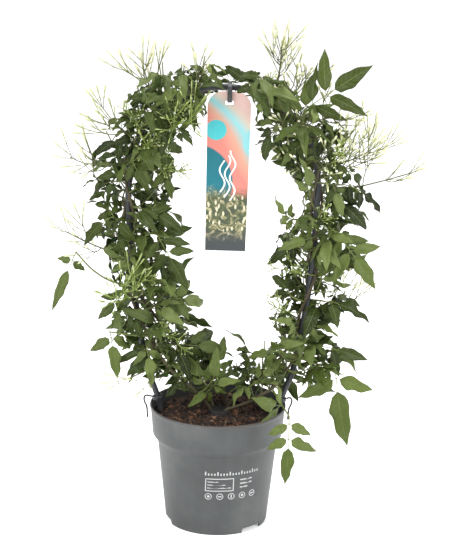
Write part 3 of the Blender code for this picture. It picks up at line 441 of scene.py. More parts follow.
def vineRoute(hoop, side, start, phase, endX, free):  # free from the soil to the hoop, then wound round it
    route = hoop if side == "left" else hoop[::-1]
    fine = evenSteps(route, 1.0)
    centre = Vector((hoopSize["x"], 0, hoopSize["archHeight"] - hoopSize["archRadius"]))
    first = next(i for i, p in enumerate(fine) if p.z > start)
    last = max(i for i, p in enumerate(fine) if (p.x - endX) * (fine[0].x - endX) > 0)
    twined = []
    count = round((last - first) / vineSize["step"])
    for k in range(count + 1):
        i = round(first + (last - first) * k / count)
        ahead = (fine[min(i + 6, len(fine) - 1)] - fine[max(i - 6, 0)]).normalized()
        out = squareTo(fine[i] - centre, ahead)
        angle = math.radians(phase) + 2 * math.pi * (i - first) / vineSize["pitch"]
        radius = vineSize["footRadius"] + (vineSize["tipRadius"] - vineSize["footRadius"]) * k / count
        away = hoopSize["radius"] + radius + vineSize["clearance"]
        twined.append(fine[i] + (out * math.cos(angle) + Vector((0, 1, 0)) * math.sin(angle)) * away)
    return smoothRoute(free, vineSize["step"])[:-1] + smoothRoute([free[-1], *twined], vineSize["step"])


def vineRadius(route, i):
    return vineSize["footRadius"] + (vineSize["tipRadius"] - vineSize["footRadius"]) * i / (len(route) - 1)


def branchingPoints(vines, hoop, near, reach):  # starts on the vines about (x, z), the best first
    found = []
    goal = reach.normalized()
    for route in vines.values():
        for i in range(branching["first"], len(route) - 1):
            p = route[i]
            away = math.hypot(p.x - near[0], p.z - near[1])
            if away > branching["search"]:
                continue
            off = p - min(hoop, key=lambda h: (h - p).length_squared)
            twined = off.length < branching["twined"] * hoopSize["radius"]
            ahead = (route[i + 1] - route[i - 1]).normalized()
            out = squareTo(goal + (off.normalized() if twined else Vector()), ahead)
            cost = away - (branching["facing"] * off.normalized().dot(goal) if twined else 0)
            found.append((cost, i, p + out * (vineRadius(route, i) + gap), out))
    return [row[2:] for row in sorted(found, key=lambda row: row[:2])]


def planBranch(space, vines, hoop, name, near, reach, steps, radii, rng):
    starts = branchingPoints(vines, hoop, near, reach(Vector((near[0], 0, near[1]))))
    for attempt in range(branching["rounds"] * len(starts)):
        start, out = starts[attempt % len(starts)]
        route = branchRoute(start, out, reach(start) + jitter(rng, attempt), steps)
        if space.hasRoom(tapered(route, *radii, 0.1)):
            space.add(tapered(route, *radii), name)
            return route
    return None


def branchRoute(start, out, reach, steps):
    end = start + reach
    middle = start + out * (branching["bow"] * reach.length) + reach * branching["lean"]
    route = []
    for k in range(steps + 1):
        t = k / steps
        route.append(start * (1 - t) ** 2 + middle * (2 * t * (1 - t)) + end * t * t)
    return route


def planLeaf(space, owner, root, along, size, pairs, kind, rng):
    for attempt in range(leafSize["tries"]):
        shrink = 1 - 0.45 * max(0, attempt - 8) / leafSize["tries"]
        grown = size * shrink
        if grown < leafSize["smallest"]:
            return None
        loosen = 0.05 + 0.7 * attempt / leafSize["tries"]
        heading = (along + jitter(rng, loosen)).normalized()
        outward = front if root.y < 10 else -front
        facing = up * (rng.uniform(0.3, 0.9) * kind[2]) + outward * rng.uniform(0.25, 0.8)
        face = squareTo(facing + jitter(rng, (0.3 + loosen) * kind[2]), heading)
        droop = rng.uniform(*leafSize["droop"]) * kind[2]
        raised = [turned(v, heading.cross(face), 0.6 * droop) for v in (heading, face)]
        skeleton = leafSkeleton(root, *raised, grown, pairs, droop, kind, rng)
        room = leafSize["thickness"] + 2 * leafSize["clearance"]
        whole = thickened(*leafSurface(skeleton), room)
        beyondPetiole = thickened(*leafSurface(skeleton, 1), room)
        if space.hasRoom(whole, besides=owner) and space.hasRoom(beyondPetiole):
            space.add(thickened(*leafSurface(skeleton, 1), leafSize["thickness"]), owner)
            space.add(thickened(*leafSurface(skeleton), leafSize["thickness"]), owner + " petiole")
            return skeleton
    return None


def planShoot(space, vines, hoop, name, near, end, tip, leaves):
    rng = random.Random(name)
    end, tip = Vector(end), Vector(tip)
    length = (tip - end).length
    *kind, pairs = leafKinds.get(name, (1.0, 1.0, 1.0, 2 if length > leafSize["twoPairLength"] else 1))
    rachis = (leafSize["petiole"] + leafSize["pairSpacing"] * (pairs - 1)
              + leafSize["pairBase"] + leafSize["tipStalk"])
    size = length / (rachis + leafSize["tip"][0])
    radii = (twigSize["radius"], twigSize["tipRadius"], twigSize["sides"])
    route = planBranch(
        space, vines, hoop, name, near, lambda start: end - start, twigSize["steps"], radii, rng)
    if not route:
        return None
    tipWay = (tip - route[-1]).normalized()
    sideways = squareTo(up.cross(tipWay) + jitter(rng, 0.3), tipWay)
    placed = [planLeaf(space, name, route[-1] - tipWay * 0.8, tipWay, size, pairs, kind, rng)]
    for k in range(1, leaves):
        node = twigSize["steps"] - (k + 1) // 2
        axis = (route[node] - route[node - 1]).normalized()
        roll = (k - 1) // 2 * math.pi / 2 + rng.uniform(-0.4, 0.4)
        way = squareTo(turned(sideways, tipWay, roll) * (-1) ** k, axis)
        along = (axis * 0.5 + way * 0.8 - up * 0.15).normalized()
        root = route[node] + way * 0.3 - axis * 0.5
        placed.append(planLeaf(space, name, root, along, min(size * 0.95, 0.85), 1, kind, rng))
    return route, [leaf for leaf in placed if leaf]


def planSpray(space, vines, hoop, name, near, reach, buds):
    rng = random.Random(name)
    radii = (spraySize["radius"], spraySize["tipRadius"], spraySize["sides"])
    route = planBranch(
        space, vines, hoop, name, near, lambda start: Vector(reach), spraySize["steps"], radii, rng)
    if not route:
        return None
    return route, planBuds(space, name, route, buds, rng)


def planBuds(space, name, route, buds, rng):
    placed = []
    for k in range(buds):
        node = spraySize["steps"] - (k // 3) % 3
        axis = (route[node] - route[node - 1]).normalized()
        for attempt in range(spraySize["tries"]):
            around = turned(axis.orthogonal().normalized(), axis, 2.4 * k + rng.uniform(-0.5, 0.5))
            spread = rng.uniform(0.25, 0.75) + 0.1 * (spraySize["steps"] - node)
            way = (axis * math.cos(spread) + around * math.sin(spread) + up * 0.25).normalized()
            stalk = rng.uniform(*spraySize["pedicelLength"])
            length = rng.uniform(*spraySize["budLength"])
            bow = (way + up * 0.12 + jitter(rng, 0.1)).normalized()
            root = route[node] - axis * (1.5 + 1.2 * (k % 3))
            points = [root, root + way * 3, root + way * stalk]
            points += [points[-1] + bow * (length * 0.7), points[-1] + bow * length]
            whole, beyondFoot = (budShape(part, spraySize["room"]) for part in (points, points[1:]))
            if space.hasRoom(whole, besides=name) and space.hasRoom(beyondFoot):
                space.add(budShape(points[1:]), name + " bud")
                placed.append([points[0], *points[2:]])
                break
    return placed


def budShape(points, grow=0.0):
    radii = [spraySize["pedicelRadius"] + grow] * (len(points) - 2) + [spraySize["budRadius"] + grow]
    grown = points[-1] + (points[-1] - points[-2]).normalized() * grow
    return tube([*points[:-1], grown], radii, spraySize["budSides"])


def potAndSoilGuide():  # a plain stand-in for both, a little larger than they are
    rim, clear, lip = potSize["rimRadius"], 0.8, 2.8
    soilHeight = soilSize["edgeHeight"] + soilSize["lump"]
    profile = [(potSize["baseRadius"] + clear, 0), (potSize["ledgeRadius"] + clear, potSize["ledgeHeight"]),
               (potSize["collarFootRadius"] + clear, potSize["collarFootHeight"] - 4),
               (rim + clear, potSize["height"] + clear), (rim - lip, potSize["height"] + clear),
               (rim - lip, soilHeight), (1, soilHeight + soilSize["crown"])]
    return coneShape(profile, 32)


def planPlant():
    hoop = hoopRoute()
    vines = {name: vineRoute(hoop, **facts) for name, facts in vineRoutes.items()}
    space = Space(keepClear)
    space.add(potAndSoilGuide(), "pot and soil")
    space.add(tapered(hoop, hoopSize["radius"], hoopSize["radius"], 6), "hoop")
    for name, route in vines.items():
        space.add(tapered(route, vineSize["footRadius"], vineSize["tipRadius"], vineSize["sides"]), name)
    half = labelSize["topWidth"] / 2 + 1.5
    x, y, top = labelSize["x"], labelSize["y"], labelSize["top"]
    space.add(boxShape((x - half, y - 2, top - labelSize["length"] - 1), (x + half, y + 2, top + 1)), "label")
    space.add(boxShape((x - 3, -12.5, 430), (x + 3, 5.5, 451.5)), "strap")
    for hand in (1, -1):
        hook = [Vector((hand * hookX, 0, z)) for hookX, z in clipSize["hook"]]
        space.add(tapered(hook, clipSize["wire"] + 0.5, clipSize["wire"] + 0.5, 6), "clip")
        space.add(boxShape((hand * 65 - 6.5, -5.5, clipSize["height"] - 5),
                           (hand * 65 + 6.5, 5.5, clipSize["height"] + 5)), "clip")
    largest = {name: planShoot(space, vines, hoop, name, *shoots[name]) for name in leafKinds}
    plannedSprays = {name: planSpray(space, vines, hoop, name, *row) for name, row in sprays.items()}
    plannedShoots = {name: largest.get(name) or planShoot(space, vines, hoop, name, *row)
                     for name, row in shoots.items()}
    return space, hoop, vines, plannedSprays, plannedShoots


space, hoop, vines, plannedSprays, plannedShoots = planPlant()
print("planned:", len(plannedSprays), "sprays and", len(plannedShoots), "shoots")


# Small growth between the large shoots

cameraSize = {
    "place": Vector((4.9, -2000.0, 845.4)), "tilt": math.radians(16.4), "roll": 0.0175, "lens": 137.9,
}
wreathOutlines = (  # as the camera sees it on the hoop's plane: left, right, over the strap (x, z)
    ((14, 465), (-23, 467), (-56, 460), (-74, 455), (-92, 436), (-113, 408), (-130, 393), (-127, 360),
     (-140, 341), (-140, 305), (-131, 289), (-111, 276), (-109, 248), (-97, 235), (-113, 216), (-125, 197),
     (-133, 168), (-113, 161), (-89, 140), (-68, 142), (-50, 138), (-22, 134), (-6, 120), (20, 118), (30, 134),
     (48, 152), (27, 190), (-5, 206), (5, 218), (2, 235), (-24, 241), (-14, 270), (-28, 297), (-42, 328),
     (-35, 344), (-49, 362), (-35, 382), (-16, 395), (-16, 435)),
    ((8, 466), (37, 461), (58, 450), (80, 434), (100, 420), (122, 412), (131, 402), (117, 381), (150, 366),
     (167, 326), (155, 298), (162, 267), (161, 240), (145, 236), (148, 205), (153, 169), (150, 122), (120, 118),
     (94, 110), (66, 130), (30, 134), (10, 136), (30, 170), (59, 190), (48, 224), (64, 234), (42, 257),
     (45, 281), (64, 305), (77, 321), (81, 342), (63, 360), (34, 378), (28, 432)),
    ((-22, 440), (-22, 466), (36, 466), (36, 438)),
)
fill = {
    "spacing": 9.0, "laps": 6, "crestLaps": 9, "crestFrom": 424.0, "lowest": 128.0, "twig": (7.0, 34.0),
    "twigRadius": (0.85, 0.55), "leafSize": (0.68, 1.18), "fiveLeaflets": 0.4, "tries": 9,
    "thickness": 0.4, "clearance": 0.2, "margin": 4.5,
    "sights": ((116.0, 160.0), (196.0, 272.0), (322.0, 360.0)), "sightHalf": 6.0, "cell": 4.0,
}


def seenAt(p):  # where the camera sees the point on the hoop's plane
    eye = cameraSize["place"]
    q = eye + (p - eye) * (-eye.y / (p.y - eye.y))
    return q.x, q.z


def withinOutline(x, z, outline):
    inside = False
    for (x0, z0), (x1, z1) in zip(outline, outline[1:] + outline[:1]):
        if (z0 > z) != (z1 > z) and x < x0 + (x1 - x0) * (z - z0) / (z1 - z0):
            inside = not inside
    return inside


boxLow, boxHigh = [corner / mm - potPlace for corner in cadBox]


def insideBox(p, margin):
    return all(boxLow[i] + margin < p[i] < boxHigh[i] - margin for i in range(3))


def hidesHoop(p):  # small leaves leave the right leg of the hoop in sight
    x, z = seenAt(p)
    if p.y > 0 or not any(low < z < high for low, high in fill["sights"]):
        return False
    leg = min(hoop[len(hoop) // 2:], key=lambda h: abs(h.z - z))
    return abs(x - leg.x) < fill["sightHalf"]


def pictureCell(p):
    x, z = seenAt(p)
    return round(x / fill["cell"]), round(z / fill["cell"])


fronts = {}  # how near to the camera the large leaves and the buds stand, by cell of its picture


def keepInSight(points):
    for p in points:
        cell = pictureCell(p)
        fronts[cell] = min(fronts.get(cell, p.y), p.y)


def hidesGrowth(blade):  # a large leaf or a bud, below the crest
    points = [bladePoint(blade, t, 0) for t in (0.2, 0.5, 0.8)]
    return sum(p.y < fronts.get(pictureCell(p), p.y) and p.z < fill["crestFrom"] for p in points) > 1


def leafAllowed(skeleton):  # inside the wreath's outline and the frame's box, and in front of nothing
    for _, _, blade in skeleton[2]:
        if hidesGrowth(blade):
            return False
        for t in (0.2, 0.45, 0.7, 1):
            p = bladePoint(blade, t, 0)
            if hidesHoop(p) or not insideBox(p, fill["margin"]):
                return False
            if not any(withinOutline(*seenAt(p), outline) for outline in wreathOutlines):
                return False
    return True


def planSmallLeaf(space, owner, root, along, size, pairs, rng):
    for attempt in range(fill["tries"]):
        grown = size * (1 - 0.05 * attempt)
        heading = (along + jitter(rng, 0.1 + 0.08 * attempt)).normalized()
        outward = front if root.y < 10 else -front
        facing = up * rng.uniform(0.2, 1.0) + outward * rng.uniform(0.1, 0.9)
        face = squareTo(facing + jitter(rng, 0.4 + 0.06 * attempt), heading)
        droop = rng.uniform(*leafSize["droop"])
        raised = [turned(v, heading.cross(face), 0.6 * droop) for v in (heading, face)]
        kind = (rng.uniform(0.8, 1.15), rng.uniform(0.8, 1.1), 1.0)
        skeleton = leafSkeleton(root, *raised, grown, pairs, droop, kind, rng)
        if not leafAllowed(skeleton):
            continue
        surface = leafSurface(skeleton, 1)
        if space.hasRoom(thickened(*surface, fill["thickness"] + 2 * fill["clearance"])):
            space.add(thickened(*surface, fill["thickness"]), owner)
            return skeleton
    return None


def regionOf(p):
    if p.z < 190 and abs(p.x) < 60:
        return "crown"
    if abs(p.x - hoopSize["x"]) < 42:
        return "crest"
    return ("left" if p.x < 0 else "right") + ("Upper" if p.z > 290 else "Lower")


def planFill(space, vines):
    grown = {}
    for vineName, route in vines.items():
        rng = random.Random("fill " + vineName)
        points = evenSteps(route, fill["spacing"])
        for lap in range(fill["crestLaps"]):
            for i in range(2, len(points) - 1):
                p = points[i]
                if lap >= fill["laps"] and p.z < fill["crestFrom"]:
                    continue
                ahead = (points[i + 1] - points[i - 1]).normalized()
                around = 2.4 * (i + 0.5 * lap) + rng.uniform(-0.4, 0.4)
                out = turned(squareTo(Vector((0, 1, 0.2)), ahead), ahead, around)
                length = rng.uniform(*fill["twig"])
                if p.z < fill["lowest"]:
                    continue
                reach = (out * 0.95 + ahead * 0.3 + up * 0.3 + jitter(rng, 0.25)) * length
                twig = branchRoute(p + out * (vineSize["footRadius"] * 0.8), out, reach, 3)
                if not space.hasRoom(tapered(twig[1:], *fill["twigRadius"], 4)):
                    continue
                owner = f"fill {vineName} {lap} {i}"
                tipWay = (twig[-1] - twig[-2]).normalized()
                pairs = 2 if rng.random() < fill["fiveLeaflets"] else 1
                size = rng.uniform(*fill["leafSize"])
                way = (tipWay - up * 0.2).normalized()
                leaves = [planSmallLeaf(space, owner, twig[-1], way, size, pairs, rng)]
                sideways = squareTo(jitter(rng, 1.0), tipWay)
                for hand in (1, -1):
                    way = (tipWay * 0.5 + sideways * hand - up * 0.2).normalized()
                    smaller = size * rng.uniform(0.7, 0.95)
                    leaves.append(planSmallLeaf(space, owner, twig[2], way, smaller, 1, rng))
                leaves = [leaf for leaf in leaves if leaf]
                if leaves:
                    space.add(tapered(twig[1:], *fill["twigRadius"], 4), owner)
                    grown.setdefault(regionOf(p), []).append((twig, leaves))
    return grown


# More buds: side stems on the large sprays, and clusters of young buds

spurs = {  # side stems, and buds on each
    "spray_left_crest": (4, 5), "spray_left_shoulder": (3, 4), "spray_left_high": (3, 4),
    "spray_crest": (1, 3), "spray_right_crest": (5, 5), "spray_right_high": (6, 5), "spray_right_far": (3, 4),
    "spray_left_far": (3, 5), "spray_left_front": (4, 6), "spray_left_inner_top": (4, 6),
    "spray_right_low": (2, 3), "spray_left_low": (1, 3),
}
youngClusters = {  # near (x, z), reach, side stems
    "youngLeftInnerTop": ((-44, 428), (10, -24, -12), 6), "youngLeftMiddle": ((-83, 262), (4, -30, -4), 6),
    "youngLeftHigh": ((-74, 398), (10, -26, 2), 5), "youngLeftLow": ((-76, 205), (30, -26, 4), 4),
    "youngRightHigh": ((90, 362), (22, -26, 4), 6), "youngRightMiddle": ((94, 312), (14, -26, 10), 5),
    "youngRightInner": ((90, 282), (-44, -10, 14), 4), "youngLeftShoulder": ((-80, 398), (-6, -28, 14), 4),
    "youngRightLow": ((84, 222), (-30, -14, 14), 4), "youngCrest": ((40, 438), (-2, -12, 16), 3),
    "youngLeftWeb": ((-66, 390), (38, -14, -14), 6),
}
creamClusters = {
    "creamCrestRight": ((40, 444), (26, -16, 34), 4), "creamCrestMiddle": ((58, 440), (-12, -20, 30), 3),
    "creamRightShoulder": ((92, 400), (40, -22, 10), 5), "creamRightLow": ((100, 350), (40, -22, 22), 4),
    "creamRightTop": ((70, 412), (-6, -26, -8), 5), "creamRightHigh": ((92, 376), (16, -28, -2), 4),
}
crestTwigs = (  # near (x, z), and reach: short leafy twigs round the strap
    ((-9, 446), (8, -11, 5)), ((20, 446), (-7, -11, 5)), ((-12, 446), (-3, -13, 2)), ((24, 446), (4, -13, 2)),
    ((-9, 446), (6, 10, 9)), ((20, 446), (-5, 10, 9)), ((-20, 444), (-2, -14, 4)), ((32, 443), (4, -14, 3)),
    ((2, 446), (-4, -12, 8)), ((10, 446), (5, -12, 8)), ((-4, 446), (2, -9, 10)), ((15, 446), (-2, -9, 10)),
)
flowering = {
    "spurLength": (13.0, 26.0), "spurRadius": (0.55, 0.42), "youngBud": (2.6, 5.0), "youngStalk": (3.0, 8.0),
    "creamBud": (8.0, 13.0), "creamStalk": (4.0, 9.0), "tries": 10, "budTries": 4,
    "beyond": 22, "endMargin": 6, "tipMargin": 1.0, "room": 0.7,
}


def planSpurs(space, name, route, count, buds, rng, lengths, stalks=None, budLengths=None):
    grown = []
    for k in range(count):
        node = 2 + k % 3
        axis = (route[node] - route[node - 1]).normalized()
        for attempt in range(flowering["tries"]):
            around = turned(axis.orthogonal().normalized(), axis, 2.4 * k + rng.uniform(-0.9, 0.9))
            way = (axis * 0.6 + around * 0.75 + up * 0.35 + jitter(rng, 0.2)).normalized()
            reach = way * rng.uniform(*lengths)
            spur = branchRoute(route[node] - axis * rng.uniform(0, 5), around, reach, 4)
            if not insideBox(spur[-1] + reach.normalized() * flowering["beyond"], flowering["endMargin"]):
                continue
            if not space.hasRoom(tapered(spur[1:], *flowering["spurRadius"], 3, 0.1)):
                continue
            if budLengths:
                placed = planYoungBuds(space, name, spur, buds, rng, stalks, budLengths)
            else:
                placed = planBuds(space, f"{name} spur {k}", spur, buds, rng)
            placed = [points for points in placed if insideBox(points[-1], flowering["tipMargin"])]
            if placed:
                space.add(tapered(spur[1:], *flowering["spurRadius"], 3), f"{name} spur {k}")
                grown.append((spur, placed))
                break
    return grown


def planYoungBuds(space, name, route, buds, rng, stalks, budLengths):
    placed = []
    for k in range(buds):
        node = len(route) - 1 - (k // 3) % 3
        axis = (route[node] - route[node - 1]).normalized()
        for attempt in range(flowering["budTries"]):
            around = turned(axis.orthogonal().normalized(), axis, 2.4 * k + rng.uniform(-0.5, 0.5))
            way = (axis * 0.7 + around * rng.uniform(0.4, 0.9) + up * 0.2).normalized()
            stalk, length = rng.uniform(*stalks), rng.uniform(*budLengths)
            points = [route[node] + way * along for along in (stalk, stalk + 0.7 * length, stalk + length)]
            thick = tapered(points, flowering["room"], flowering["room"], 3)
            if insideBox(points[-1], flowering["tipMargin"]) and space.hasRoom(thick, besides=name):
                placed.append([route[node], *points])
                break
    return placed


def planFlowering(space, vines, hoop):
    grown = {}
    for name, (count, buds) in spurs.items():
        route = plannedSprays[name][0]
        rng = random.Random(name + " spurs")
        grown[name] = planSpurs(space, name, route, count, buds, rng, flowering["spurLength"])
    clusters = []
    for table, stalks, lengths, buds, spread in (
            (youngClusters, flowering["youngStalk"], flowering["youngBud"], 6, (7.0, 15.0)),
            (creamClusters, flowering["creamStalk"], flowering["creamBud"], 4, (12.0, 24.0))):
        made = {}
        for name, (near, reach, count) in table.items():
            rng = random.Random(name)
            radii = (*flowering["spurRadius"], 4)
            route = planBranch(space, vines, hoop, name, near, lambda start: Vector(reach), 4, radii, rng)
            if route:
                own = planYoungBuds(space, name, route, buds, rng, stalks, lengths)
                side = planSpurs(space, name, route, count, buds, rng, spread, stalks, lengths)
                made[name] = [(route, own), *side]
        clusters.append(made)
    return grown, *clusters


def planCrest(space, vines, hoop):
    rng = random.Random("crest twigs")
    rows = []
    for k, (near, reach) in enumerate(crestTwigs):
        owner = f"crest twig {k}"
        radii = (*fill["twigRadius"], 4)
        twig = planBranch(space, vines, hoop, owner, near, lambda start: Vector(reach), 3, radii, rng)
        if not twig:
            continue
        tipWay = (twig[-1] - twig[-2]).normalized()
        heading = (tipWay + up * 0.3).normalized()
        leaves = [planSmallLeaf(space, owner, twig[-1], heading, rng.uniform(0.75, 0.95), 1, rng)]
        for hand in (1, -1):
            way = (tipWay * 0.3 + Vector((hand, 0, rng.uniform(-0.5, 0.25)))).normalized()
            leaves.append(planSmallLeaf(space, owner, twig[2], way, rng.uniform(0.7, 0.95), 1, rng))
        leaves = [leaf for leaf in leaves if leaf]
        if leaves:
            rows.append((twig, leaves))
    return rows


def keepLeavesInSight(leaves):
    for _, _, blades in leaves:
        for _, _, blade in blades:
            for k in range(1, 16):
                keepInSight(bladePoint(blade, k / 16, side) for side in (-0.8, -0.4, 0, 0.4, 0.8))


def keepBudsInSight(rows):
    for _, buds in rows:
        for _, *points in buds:
            keepInSight(points)


for _, leaves in plannedShoots.values():
    keepLeavesInSight(leaves)
crestRows = planCrest(space, vines, hoop)
moreSprays, youngSprays, creamSprays = planFlowering(space, vines, hoop)
keepBudsInSight(plannedSprays.values())
for table in (moreSprays, youngSprays, creamSprays):
    for rows in table.values():
        keepBudsInSight(rows)
smallGrowth = planFill(space, vines)
smallGrowth.setdefault("crest", []).extend(crestRows)
print("planned small growth:", {name: len(rows) for name, rows in smallGrowth.items()})


# Materials

def newMaterial(name, roughness):
    made = bpy.data.materials.new(name)
    made.use_nodes = True
    shader = made.node_tree.nodes["Principled BSDF"]
    shader.inputs["Roughness"].default_value = roughness
    return made, made.node_tree, shader


def node(tree, kind, **settings):  # a new node with its choices and its sockets set
    made = tree.nodes.new("ShaderNode" + kind)
    for key, value in settings.items():
        if hasattr(made, key):
            setattr(made, key, value)
        else:
            made.inputs[key].default_value = value
    return made


def maths(tree, operation, *values, clamp=False):  # values are numbers or sockets
    made = tree.nodes.new("ShaderNodeMath")
    made.operation = operation
    made.use_clamp = clamp
    for i, value in enumerate(values):
        if isinstance(value, (int, float)):
            made.inputs[i].default_value = value
        else:
            tree.links.new(value, made.inputs[i])
    return made.outputs[0]


def noiseOf(tree, vector, scale, detail=3.0, roughness=0.5, distortion=0.0):
    made = node(tree, "TexNoise", Scale=scale, Detail=detail, Roughness=roughness, Distortion=distortion)
    tree.links.new(vector, made.inputs["Vector"])
    return made.outputs["Fac"]


def rampOf(tree, factor, stops, interpolation="LINEAR"):
    made = tree.nodes.new("ShaderNodeValToRGB")
    made.color_ramp.interpolation = interpolation
    points = made.color_ramp.elements
    while len(points) < len(stops):
        points.new(0.5)
    for point, (position, colour) in zip(points, stops):
        point.position = position
        point.color = (*colour, 1)
    tree.links.new(factor, made.inputs["Fac"])
    return made.outputs["Color"]


def mixOf(tree, factor, a, b, blend="MIX"):  # a and b are colours or sockets
    made = tree.nodes.new("ShaderNodeMix")
    made.data_type = "RGBA"
    made.blend_type = blend
    for socket, value in ((made.inputs[0], factor), (made.inputs[6], a), (made.inputs[7], b)):
        if isinstance(value, (int, float)):
            socket.default_value = value
        elif isinstance(value, tuple):
            socket.default_value = (*value, 1)
        else:
            tree.links.new(value, socket)
    return made.outputs[2]


def times(tree, a, b, clamp=False):
    return maths(tree, "MULTIPLY", a, b, clamp=clamp)


def plus(tree, a, b):
    return maths(tree, "ADD", a, b)


def minus(tree, a, b, clamp=False):
    return maths(tree, "SUBTRACT", a, b, clamp=clamp)


def placeOf(tree):
    return tree.nodes.new("ShaderNodeTexCoord").outputs["Object"]


def axesOf(tree, vector):
    parts = tree.nodes.new("ShaderNodeSeparateXYZ")
    tree.links.new(vector, parts.inputs[0])
    return [parts.outputs[axis] for axis in "XYZ"]


def growthOf(tree):  # across and along what grows, from the piece's own UV map
    return axesOf(tree, node(tree, "UVMap", uv_map="growth").outputs["UV"])[:2]


def mappedOf(tree, vector, **settings):
    made = node(tree, "Mapping", **settings)
    tree.links.new(vector, made.inputs["Vector"])
    return made.outputs["Vector"]


def attributeOf(tree, name):
    return node(tree, "Attribute", attribute_name=name).outputs["Fac"]


def finish(tree, shader, colour, height, strength, distance):  # the colour and the relief of a surface
    tree.links.new(colour, shader.inputs["Base Color"])
    made = node(tree, "Bump", Strength=strength, Distance=distance)
    tree.links.new(height, made.inputs["Height"])
    tree.links.new(made.outputs["Normal"], shader.inputs["Normal"])


def soften(shader, weight, radius, scale):  # light goes a little way in
    shader.inputs["Subsurface Weight"].default_value = weight
    shader.inputs["Subsurface Radius"].default_value = radius
    shader.inputs["Subsurface Scale"].default_value = scale


leafColours = {
    "old": ((0.0, (0.003, 0.006, 0.001)), (0.5, (0.036, 0.053, 0.012)), (1.0, (0.132, 0.166, 0.052))),
    "mottle": (0.028, 0.040, 0.009), "young": (0.21, 0.28, 0.040), "vein": (0.14, 0.18, 0.06),
    "under": (0.10, 0.135, 0.042), "veinPairs": 8.0,
}
leafMoods = {  # shift of tone, and youth, for shoots that are lighter or darker than the rest
    "shoot_over_rim": (0.12, 0.1), "shoot_right_arching": (0.06, 0.08), "shoot_right_lower": (0.1, 0.08),
    "shoot_right_low": (0.05, 0.05), "shoot_crown_right": (0.05, 0.08), "shoot_crown_middle": (0.05, 0.08),
    "shoot_right_star": (0.1, 0.08), "shoot_left_arching": (0.1, 0.1), "shoot_left_far": (0.0, 0.12),
    "shoot_left_high": (-0.25, 0.0), "shoot_left_drooping": (-0.2, 0.0), "shoot_left_outer": (-0.15, 0.0),
    "shoot_left_shoulder": (-0.2, 0.0), "shoot_right_crest": (-0.1, 0.02),
    "smallLeavesRightLower": (0.03, 0.04),
}


def leafMaterial(name, under):
    made, tree, shader = newMaterial(name, 0.62 if under else 0.42)
    shader.inputs["Specular IOR Level"].default_value = 0.12 if under else 0.16
    colour = rampOf(tree, attributeOf(tree, "tone"), leafColours["old"])
    colour = mixOf(tree, attributeOf(tree, "youth"), colour, leafColours["young"])
    mottle = noiseOf(tree, placeOf(tree), 320.0, 4.0)
    colour = mixOf(tree, times(tree, mottle, 0.35), colour, leafColours["mottle"])
    side, along = growthOf(tree)
    across = maths(tree, "ABSOLUTE", minus(tree, side, 0.5))
    midrib = minus(tree, 1.0, times(tree, across, 22.0), clamp=True)
    slanted = minus(tree, along, times(tree, across, 0.32))
    wave = maths(tree, "SINE", times(tree, slanted, 2 * math.pi * leafColours["veinPairs"]))
    vein = maths(tree, "POWER", maths(tree, "MAXIMUM", wave, 0.0), 14.0)
    lines = maths(tree, "MAXIMUM", midrib, times(tree, vein, 0.45))
    colour = mixOf(tree, times(tree, lines, 0.55), colour, leafColours["vein"])
    if under:
        colour = mixOf(tree, 0.55, colour, leafColours["under"])
    relief = minus(tree, times(tree, mottle, 0.3), lines)
    finish(tree, shader, colour, relief, 0.35 if under else 0.5, 0.0004)
    soften(shader, 0.08, (0.25, 1.0, 0.12), 0.0012)
    return made


def twigMaterial():
    made, tree, shader = newMaterial("twigGreen", 0.55)
    place = placeOf(tree)
    patches = noiseOf(tree, place, 90.0)
    colour = rampOf(tree, patches, ((0.3, (0.055, 0.045, 0.022)), (0.7, (0.105, 0.125, 0.038))))
    colour = mixOf(tree, attributeOf(tree, "youth"), colour, (0.19, 0.26, 0.045))
    finish(tree, shader, colour, noiseOf(tree, place, 900.0), 0.3, 0.0002)
    return made


def budMaterial():  # green calyx, pale tube, cream tip
    made, tree, shader = newMaterial("budCream", 0.5)
    _, along = growthOf(tree)
    colour = rampOf(tree, along, (
        (0.0, (0.070, 0.062, 0.030)), (0.30, (0.085, 0.085, 0.035)), (0.36, (0.12, 0.16, 0.04)),
        (0.46, (0.20, 0.235, 0.075)), (0.66, (0.38, 0.39, 0.20)),
        (0.8, (0.66, 0.65, 0.46)), (1.0, (0.63, 0.63, 0.40)),
    ))
    green = mixOf(tree, attributeOf(tree, "youth"), colour, (0.20, 0.28, 0.042))
    blush = mixOf(tree, times(tree, attributeOf(tree, "tone"), 0.25), green, (0.30, 0.34, 0.12))
    finish(tree, shader, blush, noiseOf(tree, placeOf(tree), 1400.0), 0.2, 0.0002)
    soften(shader, 0.1, (1.0, 0.9, 0.4), 0.001)
    return made


def barkMaterial():
    made, tree, shader = newMaterial("vineBark", 0.7)
    place = placeOf(tree)
    streaks = noiseOf(tree, mappedOf(tree, place, Scale=(1.0, 1.0, 0.25)), 700.0, 5.0)
    colour = rampOf(tree, noiseOf(tree, place, 45.0), (
        (0.35, (0.060, 0.040, 0.022)), (0.55, (0.095, 0.080, 0.035)), (0.72, (0.105, 0.125, 0.045))))
    colour = mixOf(tree, times(tree, streaks, 0.6), colour, (0.035, 0.024, 0.014))
    finish(tree, shader, colour, streaks, 0.7, 0.0005)
    return made


leafTop = leafMaterial("leafTop", False)
leafUnder = leafMaterial("leafUnder", True)
twigGreen = twigMaterial()
budCream = budMaterial()
vineBark = barkMaterial()


# Growing the pieces

def deselect():
    if bpy.context.object and bpy.context.object.mode != "OBJECT":
        bpy.ops.object.mode_set(mode="OBJECT")
    bpy.ops.object.select_all(action="DESELECT")


def makeActive(piece):
    deselect()
    piece.select_set(True)
    bpy.context.view_layer.objects.active = piece


